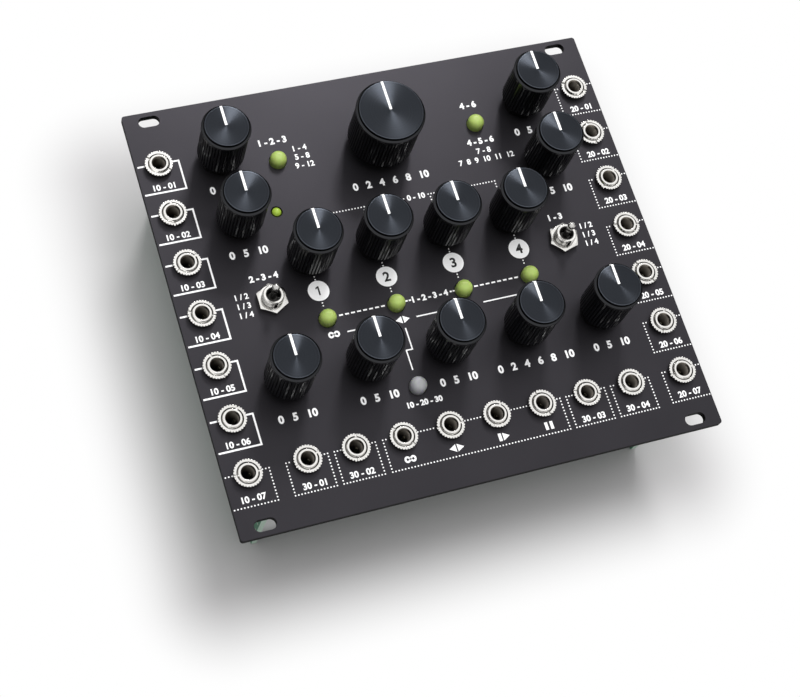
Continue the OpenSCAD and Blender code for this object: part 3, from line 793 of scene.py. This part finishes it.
def board_finish(name, colours, across, thin):
    """Solder mask over copper tracks and small holes painted dark as their shade, with the pale laminate at
    the cut edges.
    """
    paint = Paint(name)
    axes = dict(zip("xyz", paint.axes()))
    u, v = (axes[axis] / MM for axis in across)

    def tracks(along, over, seed):
        lanes = over * LANES
        lane = lanes.whole()
        run = (along * RUNS + lane * RUN_SHIFT).whole()
        pick = paint.node("ShaderNodeTexWhiteNoise", {"noise_dimensions": "2D"}, {
            "Vector": paint.node("ShaderNodeCombineXYZ", None, {"X": lane + seed, "Y": run, "Z": 0.0})})
        return (abs(lanes.part() - 0.5) < TRACK_HALF) * (pick > TRACK_GAPS)

    copper = 1 - (1 - tracks(u, v, 3.0)) * (1 - tracks(v, u, 41.0))
    cells = paint.node("ShaderNodeTexVoronoi", None, {
        "Vector": paint.place(), "Scale": 260.0, "Randomness": 0.8})
    hole = cells < HOLE
    land = (cells < LAND) - hole
    cloud = paint.noise(300, 3.0)
    flat = abs(paint.facing(thin.upper(), "Normal")) > 0.5
    mask = paint.tones(cloud, colours.board, 0.75, 1.1)
    mask = paint.mix(copper, mask, shade(colours.board, 1.75))
    mask = paint.mix(land, mask, (0.62, 0.60, 0.55))
    # Holes painted near black as the shade inside them
    mask = paint.mix(hole, mask, (0.008, 0.01, 0.008))
    weave = paint.noise(2400)
    cut = paint.mix(weave, (0.34, 0.50, 0.40), (0.58, 0.70, 0.60))
    return paint.finish({
        "Base Color": paint.mix(flat, cut, mask),
        "Metallic": land * flat,
        "Roughness": 0.62 - flat * 0.32 + cloud * 0.1,
        "Normal": paint.bump(copper * flat + weave * 0.15, 0.3, 0.03)})


def can_finish():
    """Brushed aluminium cans on black bases, with a dark mark on one side of each top."""
    paint = Paint("Capacitor can")
    x, _, z = paint.axes()
    low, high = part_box("capacitors")
    wide = high.y - low.y
    pitch = (high.x - low.x - wide) / (CANS - 1)
    local = ((x - (low.x + wide / 2)) / pitch + 0.5).part() - 0.5
    mark = (local * pitch > CAN_MARK * MM) * (z < low.z + CAN_PRINT * MM)
    base = z > (BOARD_REAR - CAN_BASE) * MM
    brush = paint.noise(1500, 3.0)
    can = paint.mix(brush, (0.48, 0.48, 0.49), (0.68, 0.68, 0.69))
    can = paint.mix(mark, can, (0.015, 0.015, 0.017))
    return paint.finish({
        "Base Color": paint.mix(base, can, (0.012, 0.012, 0.013)),
        "Metallic": (1 - mark) * (1 - base),
        "Roughness": 0.28 + brush * 0.14 + base * 0.2,
        "Normal": paint.bump(brush, 0.1, 0.02, paint.edge(0.35))})


class ECHO_OT_panel(bpy.types.Operator):
    """Gives the front panel its powder coat and bare rear"""
    bl_idname = "echo_module.panel"
    bl_label = "Panel paint"

    def execute(self, context):
        dress(["front_panel"], panel_paint(finishes()))
        return {"FINISHED"}


class ECHO_OT_printed_lines(bpy.types.Operator):
    """Prints the full and dashed lines on the panel"""
    bl_idname = "echo_module.printed_lines"
    bl_label = "Printed lines"

    def execute(self, context):
        sizes = printing()
        half = sizes.line / MM / 2
        ink = panel_ink()
        for sx, sy in LEFT_SOCKETS[:6]:
            top, floor = sy + LEFT_TICK, sy - BOX_DROP
            ink.across(LINE_LEFT, sx - LINE_CLEAR, top, half)
            ink.across(sx + LINE_CLEAR, LEFT_BOX_EDGE - half, top, half)
            ink.upright(LEFT_BOX_EDGE, floor - half, top + half, half)
            ink.across(LINE_LEFT, LEFT_BOX_EDGE - half, floor, half)
        thin = sizes.thin_line / MM / 2
        for start, end in SIGN_RUNS:
            ink.across(start, end, SIGN_ROW, thin)
        (ax, ay), (bx, by), (cx, cy), (_, dy) = STEP_PATH
        ink.upright(ax, by - thin, ay, thin)
        ink.across(cx + thin, bx - thin, by, thin)
        ink.upright(cx, dy, cy + thin, thin)
        dash, pitch = sizes.dash / MM, sizes.dash_pitch / MM
        for start, end in DASH_RUNS:
            count = max(1, round((end - start - dash) / pitch))
            for i in range(count + 1):
                x = start + (end - start - dash) * i / count
                ink.across(x, x + dash, DASH_ROW, half * DASH_SHARE)
        for start, end in SHORT_DASHES:
            ink.across(start, end, DASH_ROW, half * DASH_SHARE)
        ink.piece("print_lines", [ink_finish("Line print", finishes().ink)])
        return {"FINISHED"}


class ECHO_OT_printed_dots(bpy.types.Operator):
    """Prints the dotted boxes and lines on the panel"""
    bl_idname = "echo_module.printed_dots"
    bl_label = "Printed dots"

    def execute(self, context):
        ink = panel_ink()
        open_boxes = [(LINE_RIGHT, RIGHT_BOX_EDGE, sy + RIGHT_TICK, sy - BOX_DROP)
                      for _, sy in RIGHT_SOCKETS]
        open_boxes.append((LINE_LEFT, LAST_BOX_EDGE, LAST_BOX_TICK, ROW_FLOOR))
        for end, edge, top, floor in open_boxes:
            ink.dotted_path([(end, top), (edge, top), (edge, floor), (end, floor)])
        for start, end in ROW_BOXES:
            corners = [(start, ROW_TICK), (end, ROW_TICK), (end, ROW_FLOOR), (start, ROW_FLOOR)]
            ink.dotted_path(corners, closed=True)
        ink.dots((DISC_COLUMNS[0], LEVEL_ROW), (LEVEL_GAP[0], LEVEL_ROW))
        ink.dots((LEVEL_GAP[1], LEVEL_ROW), (DISC_COLUMNS[3], LEVEL_ROW))
        for x in DISC_COLUMNS:
            ink.dots((x, LEVEL_ROW), (x, LEVEL_ROW - LEVEL_DROP), first=False)
            for start, end in COLUMN_RUNS:
                ink.dots((x, start), (x, end))
        ink.piece("print_dots", [ink_finish("Dot print", finishes().ink)])
        return {"FINISHED"}


class ECHO_OT_printed_signs(bpy.types.Operator):
    """Prints the loop, two-way, start and pause signs"""
    bl_idname = "echo_module.printed_signs"
    bl_label = "Printed signs"

    def execute(self, context):
        ink = panel_ink()

        def loop(x, y):
            path = []
            for i in range(LOOP_STEPS):
                a = TURN * i / LOOP_STEPS
                d = 1 + math.sin(a) ** 2
                path.append((x + LOOP_WIDE / 2 * math.cos(a) / d,
                             y + LOOP_WIDE * LOOP_TALL * math.sin(a) * math.cos(a) / d))
            ink.ribbon(path, LOOP_STROKE, ink.low, ink.high)

        def arrow(x, y, wide, tall):
            points = [(x, y - tall / 2), (x + wide, y), (x, y + tall / 2)]
            ink.patch(points if wide > 0 else points[::-1])

        def block(x, y, tall):
            ink.upright(x, y - tall / 2, y + tall / 2, BLOCK_WIDE / 2)

        for y, tall, (loop_x, two_way_x, start_x, pause_x) in SIGN_ROWS:
            loop(loop_x, y)
            arrow(two_way_x + ARROW_GAP, y, tall * ARROW_SHARE, tall)
            arrow(two_way_x - ARROW_GAP, y, -tall * ARROW_SHARE, tall)
            block(start_x - START_BLOCK, y, tall)
            arrow(start_x - START_ARROW, y, tall * ARROW_SHARE, tall)
            block(pause_x - PAUSE_BLOCK, y, tall)
            block(pause_x + PAUSE_BLOCK, y, tall)
        ink.piece("print_signs", [ink_finish("Sign print", finishes().ink)])
        return {"FINISHED"}


class ECHO_OT_printed_numbers(bpy.types.Operator):
    """Prints plain numbers beside the controls and sockets"""
    bl_idname = "echo_module.printed_numbers"
    bl_label = "Printed numbers"

    def execute(self, context):
        ink = panel_ink()
        for words, height, weight, places in LABELS:
            for x, y in places:
                ink.figures(words, x, y, height, weight)
        left = [(sx, sy - LEFT_LABEL_DROP) for sx, sy in LEFT_SOCKETS]
        right = [(sx + RIGHT_LABEL_SHIFT, sy - RIGHT_LABEL_DROP) for sx, sy in RIGHT_SOCKETS]
        for tens, places in ((10, left), (20, right), (30, ROW_LABELS)):
            for i, (x, y) in enumerate(places):
                ink.figures("%d - %02d" % (tens, i + 1), x, y, SOCKET_FIGURES, SOCKET_WEIGHT)
        ink.piece("print_numbers", [ink_finish("Number print", finishes().ink)])
        return {"FINISHED"}


class ECHO_OT_number_discs(bpy.types.Operator):
    """Prints the four white discs and their dark numbers"""
    bl_idname = "echo_module.number_discs"
    bl_label = "Number discs"

    def execute(self, context):
        discs = panel_ink()
        numbers = Ink(discs.high, DISC_INK_ROOT, DISC_INK)
        for i, x in enumerate(DISC_COLUMNS):
            discs.patch(circle(x, 0.0, printing().disc / MM, 64))
            if i == 0:
                numbers.patch([(x + a, b) for a, b in FIGURE_ONE])
            else:
                numbers.figures(str(i + 1), x, 0.0, DISC_FIGURES, DISC_WEIGHT)
        discs.piece("number_discs", [ink_finish("Disc print", finishes().ink)])
        numbers.piece("disc_numbers", [ink_finish("Dark print", shade(finishes().panel, 0.2))])
        return {"FINISHED"}


class ECHO_OT_knobs(bpy.types.Operator):
    """Finishes the knobs and fills their pointer grooves"""
    bl_idname = "echo_module.knobs"
    bl_label = "Knobs and pointers"

    def execute(self, context):
        white = ink_finish("Pointer fill", shade(finishes().ink, 1.05))
        for name in KNOBS:
            dress(["knob_" + name], knob_finish(name, finishes()))
            low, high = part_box("knob_" + name)
            x, y, top = spot("knob_" + name)
            rim = (high.x - low.x) / 2 / MM - SLOPE
            # Outline of the fill from the side: along the disc, down its wall and out over the slope
            side = [(POINTER_START, -0.15), (rim - 0.02, -0.15), (rim - 0.02, -0.73), (rim + 0.40, -0.96),
                    (rim + 0.42, -0.895), (rim + 0.03, -0.675), (rim + 0.03, -0.012), (POINTER_START, -0.012)]
            n = len(side)
            points = [(x + w, y + a, top + h) for w in (-POINTER_HALF, POINTER_HALF) for a, h in side]
            faces = [(i, n + i, n + (i + 1) % n, (i + 1) % n) for i in range(n)]
            faces += [(0, 1, 6, 7), (1, 2, 5, 6), (2, 3, 4, 5)]
            faces += [tuple(n + i for i in face[::-1]) for face in faces[-3:]]
            shape = Shape()
            shape.add(points, faces)
            shape.piece("pointer_" + name, [white], "control_" + name)
        return {"FINISHED"}


class ECHO_OT_sockets(bpy.types.Operator):
    """Finishes the sockets and sets a contact spring in each"""
    bl_idname = "echo_module.sockets"
    bl_label = "Sockets"

    def execute(self, context):
        colours = finishes()
        # Nut sides get painted shade
        dress(["socket_nuts"],
              nickel_finish("Socket nut plating", colours.nickel, rough=0.1, edge=0.02, sides=0.3))
        dress(["socket_bushings"], bushing_finish(colours))
        dress(["socket_bodies"], moulding_finish("Socket moulding", (0.013, 0.013, 0.014)))
        terminal = nickel_finish("Terminal tin", (0.62, 0.58, 0.46), rough=0.3)
        dress(["socket_terminals"], terminal)
        springs = Shape()
        ax, ay = math.cos(SPRING_TURN), math.sin(SPRING_TURN)
        rows = SPRING_PATH + tuple((d + SPRING_THICK, h) for d, h in SPRING_PATH)
        for sx, sy in SOCKETS.values():
            points = [(sx + d * ax - w * ay, sy + d * ay + w * ax, FACE + h)
                      for w in (-SPRING_HALF, SPRING_HALF) for d, h in rows]
            springs.add(points, strip_faces(len(SPRING_PATH)))
        springs.piece("socket_springs", [terminal], slot="terminal_metal")
        return {"FINISHED"}


class ECHO_OT_rotary_parts(bpy.types.Operator):
    """Finishes the bodies, bushings, nuts and shafts of the rotary controls"""
    bl_idname = "echo_module.rotary_parts"
    bl_label = "Rotary control parts"

    def execute(self, context):
        nickel = finishes().nickel
        # Plating colour scaled to near black for the bushings, washers and nuts under the knobs
        plating = nickel_finish("Black plating", shade(nickel, 0.03), rough=0.3, edge=0.03)
        dress(["pot_bushings", "pot_washers", "pot_nuts"], plating)
        metal = nickel_finish("Shaft metal", shade(nickel, 0.95), rough=0.24)
        dress(["shaft_" + name for name in KNOBS], metal)
        dress(["pot_bodies"], moulding_finish("Control moulding", (0.02, 0.055, 0.032)))
        return {"FINISHED"}


class ECHO_OT_buttons(bpy.types.Operator):
    """Finishes the push buttons and their switches"""
    bl_idname = "echo_module.buttons"
    bl_label = "Push buttons"

    def execute(self, context):
        colours = finishes()
        dress(["button_" + n for n in BUTTONS if n != "grey"], button_finish("Lime cap", colours.lime))
        dress(["button_grey"], button_finish("Grey cap", colours.grey))
        dress(["switch_housings"], moulding_finish("Switch moulding", (0.014, 0.014, 0.015)))
        return {"FINISHED"}


class ECHO_OT_toggles(bpy.types.Operator):
    """Finishes the toggle switches and winds the threads on their bushings"""
    bl_idname = "echo_module.toggles"
    bl_label = "Toggle switches"

    def execute(self, context):
        nickel = finishes().nickel
        low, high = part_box("toggle_bushings")
        rim = high.z / MM
        cy = (low.y + high.y) / 2 / MM
        nut_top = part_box("toggle_nuts")[1].z / MM
        # Painted shade in the bushings' bores, keyways and below this height, and on upright faces of
        # bushings, nuts and levers
        hollow = (spot("lever_right")[0], cy, nut_top + DARK_ROOT)
        plating = nickel_finish("Toggle plating", nickel, rough=0.08, edge=0.04, sides=0.95, metal=0.85,
                                hollow=hollow)
        dress(["toggle_nuts"], nickel_finish("Toggle nut plating", nickel, rough=0.1, edge=0.03, sides=0.35))
        dress(["toggle_bushings"], plating)
        dress(["lever_" + side for side in TOGGLES], nickel_finish(
            "Lever plating", shade(nickel, 0.7), rough=0.04, edge=0.05, sides=0.5, metal=0.9))
        dress(["toggle_bodies"], moulding_finish("Toggle moulding", (0.30, 0.03, 0.025)))
        threads = Shape()
        n = len(THREAD_PROFILE)
        faces = [(a + j, a + n + j, a + n + (j + 1) % n, a + (j + 1) % n)
                 for a in range(0, n * THREAD_STEPS, n) for j in range(n)]
        faces += [tuple(range(n - 1, -1, -1)), tuple(n * THREAD_STEPS + j for j in range(n))]
        for side in TOGGLES:
            cx = spot("lever_" + side)[0]
            for k in range(THREAD_TURNS):
                middle = nut_top - THREAD_DROP + THREAD_PITCH * k
                if middle >= rim - THREAD_END:
                    break
                points = []
                for i in range(THREAD_STEPS + 1):
                    a = -math.pi / 2 + KEYWAY_ANGLE + (TURN - 2 * KEYWAY_ANGLE) * i / THREAD_STEPS
                    z = min(middle + THREAD_PITCH * i / THREAD_STEPS - THREAD_PITCH / 2, rim - THREAD_PITCH)
                    points += [(cx + r * math.cos(a), cy + r * math.sin(a), z + h)
                               for r, h in THREAD_PROFILE]
                threads.add(points, faces)
        threads.piece("toggle_threads", [plating], slot="nickel")
        return {"FINISHED"}


class ECHO_OT_level_light(bpy.types.Operator):
    """Finishes the level light"""
    bl_idname = "echo_module.level_light"
    bl_label = "Level light"

    def execute(self, context):
        dress(["level_light"], light_finish(finishes()))
        return {"FINISHED"}


def chip_part(shape, at, out, along, brown):
    """A small soldered part: a body between two end caps, on a board's face."""
    at, out, along = Vector(at), Vector(out), Vector(along)
    over = out.cross(along)
    tall = CERAMIC_TALL if brown else RESISTOR_TALL
    for start, end, wide, high, kind in (
            (-PART_BODY, PART_BODY, PART_BODY_HALF, tall - BODY_LOWER, 1 if brown else 0),
            (-PART_END, -PART_BODY, PART_END_HALF, tall, 2), (PART_BODY, PART_END, PART_END_HALF, tall, 2)):
        corners = ((start, -wide), (end, -wide), (end, wide), (start, wide))
        points = [at + along * a + over * w + out * h for h in (-PART_ROOT, high) for a, w in corners]
        faces = [(3, 2, 1, 0), (4, 5, 6, 7), (0, 1, 5, 4), (1, 2, 6, 5), (2, 3, 7, 6), (3, 0, 4, 7)]
        shape.add(points, faces, kind)


class ECHO_OT_boards(bpy.types.Operator):
    """Finishes the boards and sets the solder joints and small parts on them"""
    bl_idname = "echo_module.boards"
    bl_label = "Boards"

    seed: IntProperty(name="Seed", description="Layout of the small parts", default=11, min=0)

    def execute(self, context):
        colours = finishes()
        dress(["control_board"], board_finish("Control board mask", colours, "xy", "z"))
        dress(["left_board"], board_finish("Left board mask", colours, "yz", "x"))
        dress(["right_board"], board_finish("Right board mask", colours, "yz", "x"))
        joints = [(sx + a, sy + b) for sx, sy in SOCKETS.values() for a, b in SOCKET_LEGS]
        for prefix, names, legs in (("knob_", KNOBS, KNOB_LEGS), ("button_", BUTTONS, BUTTON_LEGS),
                                    ("lever_", TOGGLES, TOGGLE_LEGS)):
            for name in names:
                x, y = spot(prefix + name)[:2]
                joints += [(x + a, y + b) for a, b in legs]
        shape = Shape()
        outline = [(r, BOARD_REAR + h) for r, h in SOLDER]
        for joint in joints:
            shape.lathe(outline, joint, 12)
        solder = nickel_finish("Solder", (0.66, 0.66, 0.67), rough=0.2)
        shape.piece("solder_joints", [solder], slot="terminal_metal", smooth=True)
        draw = random.Random(self.seed)
        tall_parts = [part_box("power_header"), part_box("capacitors")]
        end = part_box("control_board")[1].y / MM - END_CLEAR
        side_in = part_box("right_board")[0].x / MM - SIDE_CLEAR

        def free(x, y):
            if any((x - jx) ** 2 + (y - jy) ** 2 < JOINT_CLEAR ** 2 for jx, jy in joints):
                return False
            for low, high in tall_parts:
                if (low.x / MM - PART_CLEAR < x < high.x / MM + PART_CLEAR
                        and low.y / MM - PART_CLEAR < y < high.y / MM + PART_CLEAR):
                    return False
            return abs(x) < side_in and abs(y) < end

        small = Shape()
        for i in GRID:
            for j in GRID:
                x, y = i * CONTROL_PITCH, j * CONTROL_PITCH
                lying = draw.random() < LYING_SHARE
                kept = draw.random() < KEPT_SHARE
                brown = draw.random() < CERAMIC_SHARE
                if kept and free(x, y):
                    chip_part(small, (x, y, BOARD_REAR), (0, 0, -1), (1, 0, 0) if lying else (0, 1, 0), brown)
        for side, inner in ((-1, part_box("left_board")[1].x / MM), (1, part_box("right_board")[0].x / MM)):
            for i in GRID:
                y = i * SIDE_PITCH
                near_processor = side < 0 and abs(y) < PROCESSOR_CLEAR
                for z in SIDE_ROWS:
                    kept = draw.random() < SIDE_SHARE
                    brown = draw.random() < CERAMIC_SHARE
                    if kept and not near_processor:
                        chip_part(small, (inner, y, z), (-side, 0, 0), (0, 1, 0), brown)
        small.piece("chip_parts", [moulding_finish("Resistor film", (0.014, 0.014, 0.016)),
                                   moulding_finish("Ceramic", (0.34, 0.24, 0.15), rough=0.4), solder])
        return {"FINISHED"}


class ECHO_OT_board_parts(bpy.types.Operator):
    """Finishes the header, chips and capacitors and gives the chips their legs"""
    bl_idname = "echo_module.board_parts"
    bl_label = "Board parts"

    def execute(self, context):
        dress(["board_links", "power_header"], moulding_finish("Header moulding", (0.012, 0.012, 0.013)))
        dress(["power_pins"], nickel_finish("Pin plating", (0.80, 0.66, 0.36), rough=0.18, edge=0.05))
        dress(["processor", "audio_chips"],
              moulding_finish("Chip moulding", (0.011, 0.011, 0.012), rough=0.55, grain=2600))
        dress(["capacitors"], can_finish())
        legs = Shape()

        def leg(face, foot, outward, along, wide):
            """One bent leg from a chip's side down to the board, which faces along X."""
            points = []
            for w in (-wide / 2, wide / 2):
                for rise in (0.0, -LEG_THICK):
                    points += [foot + outward * a + Vector((face, 0, 0)) * (h + rise) + along * w
                               for a, h in LEG_PATH]
            faces = strip_faces(len(LEG_PATH))
            legs.add(points, faces if face > 0 else [f[::-1] for f in faces])

        low, high = (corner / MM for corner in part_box("processor"))
        middle = (low + high) / 2
        for k in range(PROCESSOR_LEGS):
            offset = (k - (PROCESSOR_LEGS - 1) / 2) * PROCESSOR_PITCH
            for axis, sign in ((1, 1), (1, -1), (2, 1), (2, -1)):
                foot = Vector((low.x, middle.y, middle.z))
                foot[axis] = high[axis] if sign > 0 else low[axis]
                foot[3 - axis] += offset
                outward, along = Vector(), Vector()
                outward[axis] = sign
                along[3 - axis] = 1
                leg(1, foot, outward, along, PROCESSOR_LEG)
        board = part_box("right_board")[0].x / MM
        low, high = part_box("audio_chips")
        first = low.y / MM + AUDIO_CHIP_WIDE / 2
        span = (high.y - low.y) / MM - AUDIO_CHIP_WIDE
        for i in range(AUDIO_CHIPS):
            for row in AUDIO_ROWS:
                for k in range(AUDIO_LEGS):
                    y = first + span * i / (AUDIO_CHIPS - 1) + (k - (AUDIO_LEGS - 1) / 2) * AUDIO_PITCH
                    for sign in (1, -1):
                        foot = Vector((board, y, row + sign * AUDIO_CHIP_HALF))
                        leg(-1, foot, Vector((0, 0, sign)), Vector((0, 1, 0)), AUDIO_LEG)
        tin = nickel_finish("Leg tin", (0.62, 0.62, 0.62), rough=0.28, edge=0.03)
        legs.piece("chip_legs", [tin], slot="terminal_metal")
        return {"FINISHED"}


def make_camera(scene, stage):
    """The camera at the photograph's viewing angle."""
    lens = bpy.data.cameras.new("Camera")
    lens.sensor_fit = "HORIZONTAL"
    lens.sensor_width = 36
    lens.lens = stage.lens
    lens.shift_x, lens.shift_y = stage.shift
    lens.clip_start = 0.01
    camera = bpy.data.objects.new("Camera", lens)
    camera.location = stage.camera_place
    camera.rotation_euler = stage.camera_turn
    scene.collection.objects.link(camera)
    scene.camera = camera


def make_floor(scene, stage):
    """A pale floor that takes the shadow near the module, lifted by painted light under the module, and goes
    to plain white away from it.
    """
    paint = Paint("Floor")
    haze = paint.noise(6)
    x, y, _ = paint.axes()
    aside = (abs(x) - PANEL_HIGH.x).at_least(0.0)
    ahead = (abs(y) - PANEL_HIGH.y).at_least(0.0)
    away = ((aside * aside + ahead * ahead).root() / FLOOR_FADE).at_most(1.0)
    inside = (PANEL_HIGH.x - abs(x)).at_most(PANEL_HIGH.y - abs(y))
    # Painted light on the floor under the module, seen by the camera
    under = ((inside - UNDER_IN) / UNDER_FADE).clamped()
    base = paint.node("ShaderNodeBsdfPrincipled", None, {
        "Base Color": paint.tones(haze, stage.floor, 0.985, 1.01),
        "Roughness": 0.85, "Specular IOR Level": 0.1})
    bright = paint.node("ShaderNodeEmission", None, {"Color": (1, 1, 1, 1), "Strength": 1.0})
    paint.node("ShaderNodeOutputMaterial", None, {"Surface": paint.node("ShaderNodeMixShader", None, {
        0: paint.seen() * (away.eased() + under * UNDER_GLOW), 1: base, 2: bright})})
    mesh = bpy.data.meshes.new("floor")
    ring = [(x, y, FLOOR_LEVEL) for x, y in circle(0, 0, FLOOR_RADIUS, FLOOR_STEPS)]
    mesh.from_pydata(ring, [], [tuple(range(FLOOR_STEPS))])
    mesh.materials.append(paint.material)
    ground = bpy.data.objects.new("floor", mesh)
    scene.collection.objects.link(ground)


def make_room(scene, stage):
    """Even light all round, white to the camera, and darker near the horizon in reflections."""
    scene.world = bpy.data.worlds.new("Room")
    room = Paint("Room", scene.world)
    _, y, z = room.axes()
    high = (z / ROOM_FULL).clamped()
    ray = room.node("ShaderNodeLightPath", out="Is Camera Ray")
    gloss = ray.other("Is Glossy Ray")
    mirrored = (ROOM_DIM + high.eased() * (1 - ROOM_DIM)).at_least(y * -ROOM_FRONT)
    white = room.node("ShaderNodeBackground", None, {
        "Color": (1, 1, 1, 1),
        "Strength": ray + (1 - ray) * (gloss * mirrored + (1 - gloss) * stage.sky)})
    room.node("ShaderNodeOutputWorld", None, {"Surface": white})


def soft_light(name, power, wide, tall, direction):
    """An area light that looks at the middle of the panel."""
    data = bpy.data.lights.new(name, "AREA")
    data.shape = "RECTANGLE"
    data.size = wide
    data.size_y = tall
    data.energy = power
    lamp = bpy.data.objects.new(name, data)
    way = Vector(direction).normalized()
    lamp.location = Vector((0, 0, FACE * MM)) + way * LAMP_AWAY
    lamp.rotation_euler = way.to_track_quat("Z", "Y").to_euler()
    bpy.context.scene.collection.objects.link(lamp)
    return lamp


class ECHO_OT_stage(bpy.types.Operator):
    """Makes the camera, the pale floor and the studio light"""
    bl_idname = "echo_module.stage"
    bl_label = "Stage"

    def execute(self, context):
        scene = context.scene
        stage = scene.echo_stage
        scene.view_settings.view_transform = "Standard"
        make_camera(scene, stage)
        make_floor(scene, stage)
        make_room(scene, stage)
        key = soft_light("Key", stage.key_power, wide=0.95, tall=0.95, direction=(0.04, 0.15, 0.98))
        key.visible_glossy = False
        soft_light("Upper", stage.strip_power, wide=0.17, tall=0.30, direction=(0.29, 0.68, 0.67))
        return {"FINISHED"}


ORDER = (ECHO_OT_stage, ECHO_OT_panel, ECHO_OT_printed_lines, ECHO_OT_printed_dots, ECHO_OT_printed_signs,
         ECHO_OT_printed_numbers, ECHO_OT_number_discs, ECHO_OT_knobs, ECHO_OT_sockets, ECHO_OT_rotary_parts,
         ECHO_OT_buttons, ECHO_OT_toggles, ECHO_OT_level_light, ECHO_OT_boards, ECHO_OT_board_parts)


class ECHO_PT_panel(bpy.types.Panel):
    """Lists the module's pieces and their settings"""
    bl_idname = "ECHO_PT_panel"
    bl_label = "Echo module"
    bl_space_type = "VIEW_3D"
    bl_region_type = "UI"
    bl_category = "Echo module"

    def draw(self, context):
        for step in ORDER:
            self.layout.operator(step.bl_idname)
        for group in (context.scene.echo_finishes, context.scene.echo_print, context.scene.echo_stage):
            box = self.layout.box()
            for key in group.__annotations__:
                box.prop(group, key)


GROUPS = {"echo_finishes": EchoFinishes, "echo_print": EchoPrint, "echo_stage": EchoStage}
CLASSES = tuple(GROUPS.values()) + ORDER + (ECHO_PT_panel,)


def register():
    for kind in CLASSES:
        bpy.utils.register_class(kind)
    for key, kind in GROUPS.items():
        setattr(bpy.types.Scene, key, PointerProperty(type=kind))


def unregister():
    for key in GROUPS:
        delattr(bpy.types.Scene, key)
    for kind in reversed(CLASSES):
        bpy.utils.unregister_class(kind)


def main():
    register()
    for step in ORDER:
        getattr(bpy.ops.echo_module, step.bl_idname.split(".")[1])()
    bpy.context.view_layer.update()


if __name__ == "__main__":
    main()
